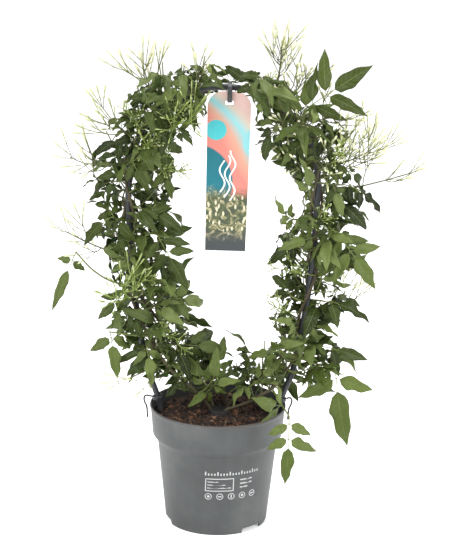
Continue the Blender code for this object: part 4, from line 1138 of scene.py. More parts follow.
def pick(piece, test):  # selects the vertices that pass the test, and stays in edit mode
    makeActive(piece)
    bpy.ops.object.mode_set(mode="EDIT")
    bpy.ops.mesh.select_mode(type="VERT")
    bpy.ops.mesh.select_all(action="DESELECT")
    bpy.ops.object.mode_set(mode="OBJECT")
    for v in piece.data.vertices:
        v.select = test(v.co)
    bpy.ops.object.mode_set(mode="EDIT")


def applyAll(piece):
    makeActive(piece)
    for modifier in list(piece.modifiers):
        bpy.ops.object.modifier_apply(modifier=modifier.name)


def pointFacesOut(piece):
    pick(piece, lambda co: True)
    bpy.ops.mesh.normals_make_consistent(inside=False)
    bpy.ops.object.mode_set(mode="OBJECT")


def objectOf(name, verts, faces):
    mesh = bpy.data.meshes.new(name)
    mesh.from_pydata(verts, [], faces)
    piece = bpy.data.objects.new(name, mesh)
    bpy.context.scene.collection.objects.link(piece)
    return piece


def joined(pieces, name):
    deselect()
    for piece in pieces:
        piece.select_set(True)
    bpy.context.view_layer.objects.active = pieces[0]
    if len(pieces) > 1:
        bpy.ops.object.join()
    pieces[0].name = name
    return pieces[0]


stemLook = {"step": 3.5, "sides": 7}
leafLook = {
    "rows": 12, "columns": 4, "thickness": 0.32, "ripple": 0.27, "sway": 0.11, "twist": 0.65, "stalk": 0.07,
    "margin": 0.09, "fullness": 2.95, "waves": (1.2, 2.6),
}


def leafletPattern():  # one leaflet as (across, along) points, modelled once and bent into each place
    deselect()
    columns, rows = leafLook["columns"], leafLook["rows"]
    bpy.ops.mesh.primitive_grid_add(x_subdivisions=columns, y_subdivisions=rows, size=2)
    grid = bpy.context.active_object
    for end in (-1, 1):
        pick(grid, lambda co: abs(co.y - end) < 0.01)
        bpy.ops.mesh.merge(type="CENTER")
    bpy.ops.object.mode_set(mode="OBJECT")
    points = [(v.co.x, (v.co.y + 1) / 2) for v in grid.data.vertices]
    faces = [tuple(face.vertices) for face in grid.data.polygons]
    bpy.data.objects.remove(grid)
    return points, faces


leafletPoints, leafletFaces = leafletPattern()


def newSheet():
    return {"verts": [], "faces": [], "uvs": [], "tone": [], "youth": [], "slots": []}


def addShape(sheet, shape, uvs, tone, youth, slot):
    n = len(sheet["verts"])
    sheet["verts"] += shape[0]
    sheet["faces"] += [tuple(i + n for i in face) for face in shape[1]]
    sheet["uvs"] += uvs
    sheet["tone"] += [tone] * len(shape[0])
    sheet["youth"] += [youth] * len(shape[0])
    sheet["slots"] += [slot] * len(shape[1])


def addTube(sheet, points, radii, sides, tone, youth, slot, marks=None):
    shape = tube(points, radii, sides)
    marks = marks or [i / (len(points) - 1) for i in range(len(points))]
    uvs = [(k / sides, mark) for mark in marks[:len(radii)] for k in range(sides)]
    uvs += [(0.5, marks[-1])] * (len(shape[0]) - len(uvs))
    addShape(sheet, shape, uvs, tone, youth, slot)


def sheetObject(name, sheet, materials):
    piece = objectOf(name, [(v + potPlace) * mm for v in sheet["verts"]], sheet["faces"])
    mesh = piece.data
    layer = mesh.uv_layers.new(name="growth")
    for loop in mesh.loops:
        layer.data[loop.index].uv = sheet["uvs"][loop.vertex_index]
    for key in ("tone", "youth"):
        mesh.attributes.new(key, "FLOAT", "POINT").data.foreach_set("value", sheet[key])
    for made in materials:
        mesh.materials.append(made)
    mesh.polygons.foreach_set("material_index", sheet["slots"])
    mesh.shade_smooth()
    return piece


def leafOutline(t):  # full in the middle, drawn out to a point
    return leafLook["fullness"] * t ** 0.55 * (1 - t) ** 1.1


def addBlade(sheet, stems, blade, rng, tone, youth):  # on its own short stalk, rippled and a little twisted
    base, along, face, length, width, curl, fold = blade
    ripple = [rng.uniform(0.3, 1) * leafLook["ripple"] * width for _ in range(2)]
    waves = [rng.uniform(*leafLook["waves"]) for _ in range(2)]
    starts = [rng.uniform(0, 6.28) for _ in range(2)]
    sway = rng.uniform(-1, 1) * leafLook["sway"] * length
    twist = rng.uniform(-1, 1) * leafLook["twist"]
    foot = leafLook["stalk"]
    verts = []
    for q, t in leafletPoints:
        u = foot + (1 - foot) * t
        bend = curl * u
        ahead = along * math.cos(bend) - face * math.sin(bend)
        rise = face * math.cos(bend) + along * math.sin(bend)
        half = 0.5 * width * leafOutline(t)
        edge = 0 if q < 0 else 1
        half *= 1 + leafLook["margin"] * math.sin(1.7 * starts[edge] + 2 * math.pi * (waves[edge] + 0.8) * t)
        wave = ripple[edge] * math.sin(starts[edge] + 2 * math.pi * waves[edge] * t) * q * q * bladeWidth(t)
        across = ahead.cross(rise) * (q * half * math.cos(fold) + sway * t * t)
        lifted = rise * (abs(q) * half * math.sin(fold) + wave)
        verts.append(bladePoint(blade, u, 0) + turned(across + lifted, ahead, twist * t))
    uvs = [((q + 1) / 2, t) for q, t in leafletPoints]
    addShape(sheet, (verts, leafletFaces), uvs, tone, youth, 0)
    stalk = [bladePoint(blade, u, 0) for u in (0, foot * 0.5, foot * 1.2)]
    addTube(stems, stalk, [0.45, 0.36, 0.3], 5, tone, 0.3 + 0.5 * youth, 2)


def addLeaf(sheet, stems, skeleton, rng, youth, shift=0.0):
    side, rows, blades = skeleton
    tone = rng.uniform(0.0, 1.0) + shift
    for _, _, blade in blades:
        own = min(1, max(0, tone + rng.uniform(-0.22, 0.22)))
        addBlade(sheet, stems, blade, rng, own, youth * rng.uniform(0.6, 1))
    rib = smoothRoute([row[0] for row in rows], 3.0)
    radii = [0.6 - 0.25 * i / (len(rib) - 1) for i in range(len(rib))]
    addTube(stems, rib, radii, 6, tone, 0.3 + 0.5 * youth, 2)


def leafyPiece(name, rows, nodeName=None):
    sheet, stems = newSheet(), newSheet()
    rng = random.Random(name)
    shift, more = leafMoods.get(nodeName or name, (0.0, 0.0))
    for route, leaves, radii in rows:
        fine = smoothRoute(route, stemLook["step"])
        youth = rng.uniform(0, 0.35) ** 1.5 + more
        addTube(stems, fine, taper(fine, *radii), stemLook["sides"], 0.5, 0.2 + youth, 2)
        for leaf in leaves:
            addLeaf(sheet, stems, leaf, rng, youth, shift)
    materials = [leafTop, leafUnder, twigGreen]
    parts = [sheetObject(name + "Stems", stems, materials)]
    if sheet["verts"]:
        blades = sheetObject(name + "Blades", sheet, materials)
        solid = blades.modifiers.new("Thickness", "SOLIDIFY")
        solid.thickness = leafLook["thickness"] * mm
        solid.offset = 0
        solid.material_offset = 1
        applyAll(blades)
        parts.append(blades)
    piece = joined(parts, name)
    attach(piece, "root")
    if nodeName:
        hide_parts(nodeName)


def camelName(nodeName):
    first, *others = nodeName.split("_")
    return first + "".join(word.capitalize() for word in others) + "Fine"


for nodeName, (route, leaves) in plannedShoots.items():
    radii = (twigSize["radius"], twigSize["tipRadius"])
    leafyPiece(camelName(nodeName), [(route, leaves, radii)], nodeName)
for region, rows in smallGrowth.items():
    rows = [(twig, leaves, fill["twigRadius"]) for twig, leaves in rows]
    leafyPiece("smallLeaves" + region[0].upper() + region[1:], rows)
print("leaves grown")


budLook = {  # share of the bud's length, share of its radius
    "profile": ((0.0, 0.45), (0.05, 0.64), (0.12, 0.58), (0.16, 0.4), (0.34, 0.42), (0.5, 0.66), (0.64, 1.02),
                (0.78, 1.18), (0.9, 0.86), (0.97, 0.38)),
    "radius": 1.02, "youngRadius": 0.66, "stalkRadius": 0.33, "sides": 7,
    "youths": {"spray_left_inner_top": 0.9, "spray_left_front": 0.9, "spray_left_shoulder": 0.35},
}


def addBud(sheet, points, radius, rng, youth):
    root, foot, middle, tip = points
    stalk = [root.lerp(foot, t) for t in (0, 0.35, 0.7)]
    radii = [budLook["stalkRadius"]] * 3
    marks = [0, 0.12, 0.24]
    for share, width in budLook["profile"]:
        t = share / 0.7
        p = foot.lerp(middle, t) if share < 0.7 else middle.lerp(tip, (share - 0.7) / 0.3)
        stalk.append(p)
        radii.append(radius * width)
        marks.append(0.33 + 0.67 * share)
    addTube(sheet, [*stalk, tip], radii, budLook["sides"], rng.random(), youth, 0, [*marks, 1.0])


def sprayPiece(name, stems, nodeName=None, youth=0.0):
    sheet = newSheet()
    rng = random.Random(name)
    radius = budLook["youngRadius" if youth > 0.5 else "radius"]
    for route, buds, radii in stems:
        fine = smoothRoute(route, stemLook["step"])
        addTube(sheet, fine, taper(fine, *radii), stemLook["sides"], 0.5, 0.1 + youth, 1)
        for points in buds:
            addBud(sheet, points, radius * rng.uniform(0.85, 1.08), rng, youth * rng.uniform(0.7, 1))
    piece = sheetObject(name, sheet, [budCream, twigGreen])
    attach(piece, "root")
    if nodeName:
        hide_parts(nodeName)


for nodeName, (route, buds) in plannedSprays.items():
    stems = [(route, buds, (spraySize["radius"], spraySize["tipRadius"]))]
    stems += [(spur, placed, flowering["spurRadius"]) for spur, placed in moreSprays[nodeName]]
    sprayPiece(camelName(nodeName), stems, nodeName, budLook["youths"].get(nodeName, 0.0))
for table, youth in ((youngSprays, 0.85), (creamSprays, 0.1)):
    for name, rows in table.items():
        sprayPiece(name, [(route, buds, flowering["spurRadius"]) for route, buds in rows], youth=youth)
print("sprays grown")


vineLook = {"sides": 10, "step": 3.0, "knotEvery": 17.0, "knot": 0.35, "wander": 0.12}


def vinePiece(nodeName, route):
    fine = smoothRoute(route, vineLook["step"])
    steps = len(fine) - 1
    foot, tip = vineSize["footRadius"], vineSize["tipRadius"]
    radii = []
    for i in range(steps + 1):
        walked = i * vineLook["step"] % vineLook["knotEvery"]
        knot = vineLook["knot"] * math.exp(-(walked - vineLook["knotEvery"] / 2) ** 2 / 3)
        radii.append(foot + (tip - foot) * i / steps + knot + vineLook["wander"] * noise.noise(fine[i] / 9))
    sheet = newSheet()
    addTube(sheet, fine, radii, vineLook["sides"], 0.5, 0.0, 0)
    piece = sheetObject(camelName(nodeName), sheet, [vineBark])
    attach(piece, "root")
    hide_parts(nodeName)


for nodeName, route in vines.items():
    vinePiece(nodeName, route)


# Pot

def turnProfile(name, profile, segments):  # a filled circle drawn out ring by ring, outside first
    deselect()
    radius, height = profile[0]
    bpy.ops.mesh.primitive_circle_add(
        vertices=segments, radius=radius * mm, fill_type="NGON", location=(0, 0, height * mm))
    piece = bpy.context.active_object
    piece.name = name
    bpy.ops.object.transform_apply()
    bpy.ops.object.mode_set(mode="EDIT")
    bpy.ops.mesh.select_all(action="SELECT")
    for (r0, h0), (r1, h1) in zip(profile, profile[1:]):
        bpy.ops.mesh.extrude_region_move(TRANSFORM_OT_translate={"value": (0, 0, (h1 - h0) * mm)})
        bpy.ops.transform.resize(value=(r1 / r0, r1 / r0, 1), center_override=(0, 0, h1 * mm))
    bpy.ops.mesh.select_all(action="SELECT")
    bpy.ops.mesh.normals_make_consistent(inside=False)
    bpy.ops.object.mode_set(mode="OBJECT")
    return piece


def cutAway(piece, cutters):
    for cutter in cutters:
        boolean = piece.modifiers.new("Cut", "BOOLEAN")
        boolean.operation = "DIFFERENCE"
        boolean.object = cutter
        makeActive(piece)
        bpy.ops.object.modifier_apply(modifier=boolean.name)
        bpy.data.objects.remove(cutter)


def softEdges(piece, width, segments=2, angle=30):
    bevel = piece.modifiers.new("Edges", "BEVEL")
    bevel.width = width * mm
    bevel.segments = segments
    bevel.limit_method = "ANGLE"
    bevel.angle_limit = math.radians(angle)
    applyAll(piece)


def smoothShade(piece, angle=35):
    makeActive(piece)
    bpy.ops.object.shade_smooth_by_angle(angle=math.radians(angle))


def settle(piece, materials, nodeNames):  # from the pot's axis to its place in the frame
    piece.data.transform(Matrix.Translation(potPlace * mm))
    piece.data.materials.clear()
    for made in materials:
        piece.data.materials.append(made)
    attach(piece, "root")
    if nodeNames:
        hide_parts(*nodeNames)


potLook = {"segments": 144, "notchDepth": 16, "notchRound": 1.8, "drainSegments": 32, "drainDepth": 20}


def makePot():
    rim, height, wall = potSize["rimRadius"], potSize["height"], potSize["wall"]
    collar, collarHeight = potSize["collarFootRadius"], potSize["collarFootHeight"]
    ledge, ledgeHeight = potSize["ledgeRadius"], potSize["ledgeHeight"]
    base, floor = potSize["baseRadius"], potSize["floorHeight"]
    lip = rim - 0.8
    profile = [
        (6, floor), (base - wall, floor), (base - wall - 0.2, 0.3), (base - wall + 0.2, 0),
        (base - 0.5, 0), (base, 1.2), (ledge - 0.25, ledgeHeight - 2.2), (ledge + 0.1, ledgeHeight),
        (ledge + 0.75, ledgeHeight + 1.2), (collar - 1.4, collarHeight - 2.8),
        (collar - 0.5, collarHeight - 1.7), (collar, collarHeight), (collar + 0.2, collarHeight + 2),
        (lip - 0.1, height - 3.9), (lip + 0.35, height - 3.2), (rim, height - 2.3),
        (rim + 0.05, height - 1.1), (rim - 0.25, height - 0.25), (rim - 0.9, height),
        (rim - 1.7, height - 0.2), (lip - wall, height - 1.5), (collar - wall, collarHeight + 0.4),
        (collar - 2.5, collarHeight - 1.9),
        (ledge - wall, ledgeHeight + 0.6), (base - wall + 0.7, floor + wall), (6, floor + wall),
    ]
    pot = turnProfile("potShell", profile, potLook["segments"])
    cutters = []
    depth, width, tall = potLook["notchDepth"], potSize["notchWidth"], potSize["notchHeight"]
    for angle in potSize["notchAngles"]:
        bpy.ops.mesh.primitive_cube_add(size=1)
        notch = bpy.context.active_object
        notch.data.transform(Matrix.Diagonal((depth * mm, width * mm, (tall + 2) * mm, 1)))
        notch.data.transform(Matrix.Translation((base * mm, 0, (tall - 2) / 2 * mm)))
        notch.data.transform(Matrix.Rotation(math.radians(angle), 4, "Z"))
        softEdges(notch, potLook["notchRound"], 3)
        cutters.append(notch)
    for k in range(potSize["drainCount"] + 1):
        a = 2 * math.pi * (k + 0.5) / potSize["drainCount"]
        ring = potSize["drainRing"] if k < potSize["drainCount"] else 0
        place = (ring * math.cos(a) * mm, ring * math.sin(a) * mm, floor * mm)
        bpy.ops.mesh.primitive_cylinder_add(
            vertices=potLook["drainSegments"], radius=potSize["drainRadius"] * mm,
            depth=potLook["drainDepth"] * mm, location=place)
        bpy.ops.object.transform_apply()
        cutters.append(bpy.context.active_object)
    cutAway(pot, cutters)
    smoothShade(pot, 28)
    settle(pot, [potPlastic], ["pot"])


def potMaterial():
    made, tree, shader = newMaterial("potPlastic", 0.42)
    place = placeOf(tree)
    cloud = noiseOf(tree, place, 16.0, 4.0, 0.6)
    streak = noiseOf(tree, mappedOf(tree, place, Scale=(1.0, 1.0, 0.12)), 130.0, 4.0, 0.6)
    grain = noiseOf(tree, place, 900.0, 2.0)
    colour = rampOf(tree, cloud, (
        (0.36, (0.037, 0.040, 0.041)), (0.5, (0.052, 0.056, 0.057)), (0.66, (0.080, 0.084, 0.084))))
    colour = mixOf(tree, times(tree, streak, 0.28), colour, (0.100, 0.104, 0.104))
    # a little dry peat along the rim and a few smudges lower down
    fromRim = maths(tree, "ABSOLUTE", minus(tree, axesOf(tree, place)[2], 0.121))
    nearRim = minus(tree, 1.0, times(tree, fromRim, 260.0), clamp=True)
    dust = maths(tree, "GREATER_THAN", times(tree, noiseOf(tree, place, 420.0, 3.0), nearRim), 0.47)
    specks = maths(tree, "GREATER_THAN", noiseOf(tree, place, 240.0, 5.0, 0.7), 0.735)
    dirt = maths(tree, "MAXIMUM", times(tree, dust, 0.75), times(tree, specks, 0.4))
    colour = mixOf(tree, dirt, colour, (0.075, 0.045, 0.028))
    shader.inputs["Specular IOR Level"].default_value = 0.4
    tree.links.new(plus(tree, 0.36, times(tree, cloud, 0.22)), shader.inputs["Roughness"])
    relief = plus(tree, times(tree, grain, 0.35), times(tree, streak, 0.4))
    finish(tree, shader, colour, relief, 0.22, 0.0004)
    return made


potPlastic = potMaterial()
makePot()


# Pale print on the pot: a row of ticks, a ruled panel with bars beside it, and a row of rings,
# each a thin patch that follows the wall

printLook = {
    "turn": math.radians(14.0), "top": 70.0, "scale": 1.2, "line": 0.75, "depth": 0.06, "step": 1.5,
    "ticks": 19, "tickStart": -21.5, "tickStep": 2.55, "tickFoot": 2.6, "tickSize": (1.1, 1.9, 3.3),
    "ringDrop": 22.0, "rings": 5, "ringRadius": 2.9, "ringStep": 9.6, "ringStart": -18.0,
    "panel": (-21.0, 5.4, 24.0, 11.8), "rules": ((-19.2, 8.2, 9.0), (-19.2, 11.0, 15.0), (-19.2, 13.8, 20.0)),
    "marks": ((8.5, 7.0, 11.0, 1.1), (8.5, 10.4, 11.0, 1.1), (8.5, 13.8, 7.0, 1.1)),
}


def wallPoint(along, down, lift):  # a place on the pot's wall, along it and down from the print's top
    along, down = along * printLook["scale"], down * printLook["scale"]
    z = printLook["top"] - down
    slope = (potSize["ledgeRadius"] - potSize["baseRadius"]) / (potSize["ledgeHeight"] - 1.2)
    radius = potSize["baseRadius"] + (z - 1.2) * slope
    a = printLook["turn"] - math.pi / 2 + along / radius
    return Vector(((radius + lift) * math.cos(a), (radius + lift) * math.sin(a), z))


def addPatch(sheet, outline, hole=None):  # a closed thin patch, or a frame where a hole is given
    depth = printLook["depth"]
    n = len(outline)
    loops = [[wallPoint(*p, depth) for p in outline], [wallPoint(*p, 0.0) for p in outline]]
    if hole:
        loops = [loops[0], [wallPoint(*p, depth) for p in hole], [wallPoint(*p, 0.0) for p in hole], loops[1]]
        faces = []
        for i in range(4):
            a, b = i * n, (i + 1) % 4 * n
            faces += [(a + k, a + (k + 1) % n, b + (k + 1) % n, b + k) for k in range(n)]
    else:
        faces = [tuple(range(n)), tuple(range(2 * n - 1, n - 1, -1))]
        faces += [(k, k + n, (k + 1) % n + n, (k + 1) % n) for k in range(n)]
    verts = [p for loop in loops for p in loop]
    addShape(sheet, (verts, faces), [(0, 0)] * len(verts), 0.5, 0.0, 0)


def barOutline(along, down, length, height):
    steps = max(2, round(length / printLook["step"]))
    top = [(along + length * k / steps, down) for k in range(steps + 1)]
    return [(x, down + height) for x, _ in top] + top[::-1]


def ringOutline(along, down, radius):
    angles = [2 * math.pi * k / 20 for k in range(20)]
    return [(along + radius * math.cos(a), down - radius * math.sin(a)) for a in angles]


def frameOutline(along, down, length, height, inset):
    steps = 16
    x0, x1, z0, z1 = along + inset, along + length - inset, down + inset, down + height - inset
    low = [(x0 + (x1 - x0) * k / steps, z1) for k in range(steps + 1)]
    return low + [(x1 - (x1 - x0) * k / steps, z0) for k in range(steps + 1)]


def makePrint():
    sheet, look = newSheet(), printLook
    line = look["line"]
    for bar in look["marks"]:
        addPatch(sheet, barOutline(*bar))
    width, low, high = look["tickSize"]
    for k in range(look["ticks"]):
        tall = high if k % 4 == 0 else low
        along = look["tickStart"] + look["tickStep"] * k
        addPatch(sheet, barOutline(along, look["tickFoot"] - tall, width, tall))
    for rule in look["rules"]:
        addPatch(sheet, barOutline(*rule, line))
    drop, radius = look["ringDrop"], look["ringRadius"]
    for k in range(look["rings"]):
        x = look["ringStart"] + look["ringStep"] * k
        addPatch(sheet, ringOutline(x, drop, radius), ringOutline(x, drop, radius - line * 0.8))
        inner = (  # a disc, a flat bar or an upright one
            ringOutline(x, drop, 1.1), barOutline(x - 1.5, drop - 0.5, 3.0, 1.0),
            barOutline(x - 0.5, drop - 1.6, 1.0, 3.2))
        addPatch(sheet, inner[k % 3])
    addPatch(sheet, frameOutline(*look["panel"], 0), frameOutline(*look["panel"], line))
    piece = sheetObject("potPrint", sheet, [printInk])
    pointFacesOut(piece)
    piece.data.shade_flat()
    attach(piece, "root")


def inkMaterial():  # worn pale ink that lets some of the grey through
    made, tree, shader = newMaterial("printInk", 0.5)
    place = placeOf(tree)
    wear = noiseOf(tree, place, 380.0, 5.0, 0.7)
    colour = rampOf(tree, wear, ((0.55, (0.46, 0.47, 0.47)), (0.78, (0.22, 0.23, 0.23))))
    finish(tree, shader, colour, noiseOf(tree, place, 900.0), 0.1, 0.0001)
    return made


printInk = inkMaterial()
makePrint()
print("pot made")


# Soil: a lumpy bed of peat with crumbs, bark and fibres, and the dark plug that the stems grew in

soilLook = {
    "segments": 96, "rings": 26, "coarse": 2.0, "middling": 1.2, "fine": 0.55, "bowl": 4100,
    "heapX": -43.0, "heapReach": 17.0, "heapHeight": 4.5,
    "plugRadius": 11.5, "plugTop": 117.5, "plugPlace": Vector((1.0, -4.0, 0)),
    "crumbs": 760, "crumbSize": (0.5, 2.7), "chips": 130, "reach": 62.5,
    "fibres": 330, "fibreReach": 55, "fibreLength": (3.0, 10.0), "fibreRadius": (0.12, 0.28),
}


def soilTop(x, y):
    look = soilLook
    top = soilSize["edgeHeight"] + soilSize["crown"] * (1 - (x * x + y * y) / look["bowl"])
    fromHeap = (x - look["heapX"]) ** 2 + y * y
    heap = look["heapHeight"] * math.exp(-fromHeap / look["heapReach"] ** 2)
    p = Vector((x, y, 0))
    return (top + heap + look["coarse"] * noise.noise(p / 13) + look["middling"] * noise.noise(p / 5)
            + look["fine"] * noise.noise(p / 2.1))


def makeSoil():
    clear = potSize["wall"] + gap
    floor = potSize["floorHeight"] + clear
    slope = (potSize["ledgeRadius"] - potSize["baseRadius"]) / (potSize["ledgeHeight"] - 1.2)
    top = potSize["collarFootRadius"] - clear + (soilSize["edgeHeight"] - potSize["collarFootHeight"]) * 0.08
    profile = [(4, floor), (potSize["baseRadius"] + slope * floor - clear - 0.3, floor),
               (potSize["ledgeRadius"] - clear - 0.1, potSize["ledgeHeight"] + 0.8),
               (potSize["collarFootRadius"] - 2.9, potSize["collarFootHeight"] - 1.5),
               (potSize["collarFootRadius"] - clear - 0.1, potSize["collarFootHeight"] + 0.8)]
    for k in range(soilLook["rings"]):
        profile.append((top * (1 - k / soilLook["rings"]) + 0.6, soilSize["edgeHeight"]))
    bed = turnProfile("peatBed", profile, soilLook["segments"])
    for v in bed.data.vertices:
        if v.co.z > (soilSize["edgeHeight"] - 0.1) * mm:
            v.co.z = soilTop(v.co.x / mm, v.co.y / mm) * mm
    bed.data.shade_smooth()
    settle(bed, [peatSoil], ["soil"])


def makePlug():
    radius, top = soilLook["plugRadius"], soilLook["plugTop"]
    profile = [(radius - 1, 100), (radius, 103), (radius, top - 1.5), (radius - 0.7, top - 0.3),
               (radius - 2, top), (radius - 4, top - 1.2), (radius - 7, top - 1.6), (1.0, top - 1.4)]
    plug = turnProfile("rootPlug", profile, 48)
    for v in plug.data.vertices:
        rough = noise.noise(v.co / mm / 4) * 0.9 + noise.noise(v.co / mm / 1.6) * 0.4
        lift = 0.8 * rough * mm if v.co.z > 0.11 else 0
        v.co += Vector((v.co.x, v.co.y, 0)).normalized() * rough * mm + up * lift
    plug.data.transform(Matrix.Translation(soilLook["plugPlace"] * mm))
    plug.data.shade_smooth()
    settle(plug, [plugFelt], ())


def crumbPattern():  # modelled once and set down with its own size, turn and roughness
    deselect()
    bpy.ops.mesh.primitive_ico_sphere_add(subdivisions=2, radius=1)
    ball = bpy.context.active_object
    points = [v.co.copy() for v in ball.data.vertices]
    faces = [tuple(face.vertices) for face in ball.data.polygons]
    bpy.data.objects.remove(ball)
    return points, faces


def makeCrumbs():
    rng = random.Random("crumbs")
    sheet = newSheet()
    points, faces = crumbPattern()
    for k in range(soilLook["crumbs"] + soilLook["chips"]):
        a, r = rng.uniform(0, 2 * math.pi), soilLook["reach"] * math.sqrt(rng.random())
        chip = k >= soilLook["crumbs"]
        low, high = soilLook["crumbSize"]
        size = low + (high - low) * rng.random() ** 2.4
        stretch = Vector((rng.uniform(2.0, 4.2), rng.uniform(0.9, 1.6), 0.45)) if chip else Vector(
            (size * rng.uniform(0.8, 1.3), size * rng.uniform(0.7, 1.2), size * rng.uniform(0.5, 0.9)))
        r = min(r, soilLook["reach"] - max(stretch))
        x, y = r * math.cos(a), r * math.sin(a)
        turn = Quaternion(Vector((rng.uniform(-1, 1), rng.uniform(-1, 1), rng.uniform(-1, 1))).normalized(),
                          rng.uniform(0, 0.6 if chip else 3.1)) @ Quaternion(up, rng.uniform(0, 6.28))
        offset = Vector((k * 7.3, k * 3.1, 0))
        place = Vector((x, y, soilTop(x, y) + stretch.z * 0.35))
        verts = []
        for p in points:
            rough = 1 + 0.95 * noise.noise(p * 1.5 + offset)
            verts.append(place + turn @ Vector((p.x * stretch.x, p.y * stretch.y, p.z * stretch.z)) * rough)
        tone = rng.random() if chip else 0.88 * rng.random() ** 1.5
        addShape(sheet, (verts, faces), [(0, 0)] * len(verts), tone, 1.0 if chip else 0.0, 0)
    for k in range(soilLook["fibres"]):
        a, r = rng.uniform(0, 2 * math.pi), soilLook["fibreReach"] * math.sqrt(rng.random())
        x, y = r * math.cos(a), r * math.sin(a)
        way = turned(Vector((1, 0, rng.uniform(-0.1, 0.5))).normalized(), up, rng.uniform(0, 6.28))
        length = rng.uniform(*soilLook["fibreLength"])
        start = Vector((x, y, soilTop(x, y) + 0.3))
        middle = start + way * (length * 0.5) + up * rng.uniform(0.2, 1.4) + jitter(rng, 0.6)
        end = start + way * length + jitter(rng, 1.0)
        if math.hypot(end.x, end.y) < 62:
            fine = smoothRoute([start, middle, end], length / 5)
            radius = rng.uniform(*soilLook["fibreRadius"])
            addTube(sheet, fine, [radius] * len(fine), 4, rng.uniform(0.55, 1.0), 1.0, 0)
    piece = sheetObject("peatCrumbs", sheet, [peatCrumb])
    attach(piece, "root")


def peatMaterial():
    made, tree, shader = newMaterial("peatSoil", 0.95)
    place = placeOf(tree)
    grain = noiseOf(tree, place, 420.0, 5.0, 0.7)
    colour = rampOf(tree, noiseOf(tree, place, 70.0, 5.0, 0.65), (
        (0.3, (0.006, 0.004, 0.003)), (0.5, (0.024, 0.012, 0.007)), (0.68, (0.085, 0.036, 0.018))))
    colour = mixOf(tree, times(tree, grain, 0.7), colour, (0.012, 0.007, 0.005))
    finish(tree, shader, colour, grain, 1.0, 0.0015)
    return made


def crumbMaterial():
    made, tree, shader = newMaterial("peatCrumb", 0.9)
    colour = rampOf(tree, attributeOf(tree, "tone"), (
        (0.0, (0.009, 0.006, 0.004)), (0.4, (0.038, 0.018, 0.010)), (0.65, (0.125, 0.054, 0.027)),
        (0.85, (0.21, 0.105, 0.055)), (1.0, (0.38, 0.24, 0.14))))
    grain = noiseOf(tree, placeOf(tree), 900.0, 4.0, 0.7)
    colour = mixOf(tree, times(tree, grain, 0.5), colour, (0.020, 0.011, 0.008))
    finish(tree, shader, colour, grain, 0.8, 0.0008)
    return made


def feltMaterial():
    made, tree, shader = newMaterial("plugFelt", 0.95)
    fuzz = noiseOf(tree, placeOf(tree), 1100.0, 4.0, 0.7)
    colour = rampOf(tree, fuzz, ((0.3, (0.006, 0.006, 0.007)), (0.75, (0.035, 0.030, 0.030))))
    finish(tree, shader, colour, fuzz, 0.8, 0.0008)
    return made


peatSoil, peatCrumb, plugFelt = peatMaterial(), crumbMaterial(), feltMaterial()
makeSoil()
makePlug()
makeCrumbs()
print("soil made")


# Hoop, rim clips, label and strap

def hoopMaterial():
    made, tree, shader = newMaterial("hoopPlastic", 0.38)
    place = placeOf(tree)
    scuff = noiseOf(tree, place, 160.0, 4.0, 0.65)
    colour = rampOf(tree, scuff, ((0.35, (0.018, 0.020, 0.023)), (0.7, (0.038, 0.042, 0.048))))
    tree.links.new(plus(tree, 0.3, times(tree, scuff, 0.3)), shader.inputs["Roughness"])
    finish(tree, shader, colour, noiseOf(tree, place, 700.0, 3.0), 0.15, 0.0002)
    return made


def makeHoop():
    deselect()
    line = bpy.data.curves.new("hoopTube", "CURVE")
    line.dimensions = "3D"
    fine = smoothRoute(hoop, 4.0)
    path = line.splines.new("POLY")
    path.points.add(len(fine) - 1)
    for point, p in zip(path.points, fine):
        point.co = (*(p * mm), 1)
    line.bevel_depth = hoopSize["radius"] * mm
    line.bevel_resolution = 4
    line.use_fill_caps = True
    tubeOfHoop = bpy.data.objects.new("hoopTube", line)
    bpy.context.scene.collection.objects.link(tubeOfHoop)
    makeActive(tubeOfHoop)
    bpy.ops.object.convert(target="MESH")
    piece = bpy.context.active_object
    smoothShade(piece)
    settle(piece, [hoopPlastic], ["hoop"])


def makeClip(nodeName, hand):
    leg = min((i for i in range(len(hoop) - 1) if hoop[i].x * hand > 0),
              key=lambda i: abs(hoop[i].z - clipSize["height"]))
    ahead = (hoop[leg + 1] - hoop[leg - 1]).normalized()
    centre = hoop[leg] + ahead * ((clipSize["height"] - hoop[leg].z) / ahead.z)
    inner = hoopSize["radius"] + gap
    outer = inner + clipSize["wall"] + 0.9
    half = clipSize["length"] / 2
    deselect()
    bpy.ops.mesh.primitive_cylinder_add(vertices=32, radius=outer * mm, depth=2 * half * mm)
    collar = bpy.context.active_object
    bpy.ops.mesh.primitive_cylinder_add(vertices=32, radius=inner * mm, depth=4 * half * mm)
    cutAway(collar, [bpy.context.active_object])
    softEdges(collar, 0.35, 2, 40)
    turn = up.rotation_difference(ahead).to_matrix().to_4x4()
    collar.data.transform(Matrix.Translation(centre * mm) @ turn)
    hook = [centre + Vector((hand * (outer - 0.7), 0, 0))]
    hook += [Vector((hand * x, 0, z)) for x, z in clipSize["hook"]]
    fine = smoothRoute(hook, 1.2)
    sheet = newSheet()
    addTube(sheet, fine, [clipSize["wire"]] * len(fine), 10, 0.5, 0.0, 0)
    wire = sheetObject(nodeName + "Wire", sheet, [hoopPlastic])
    wire.data.transform(Matrix.Translation(-potPlace * mm))
    piece = joined([collar, wire], camelName(nodeName))
    smoothShade(piece)
    settle(piece, [hoopPlastic], [nodeName])


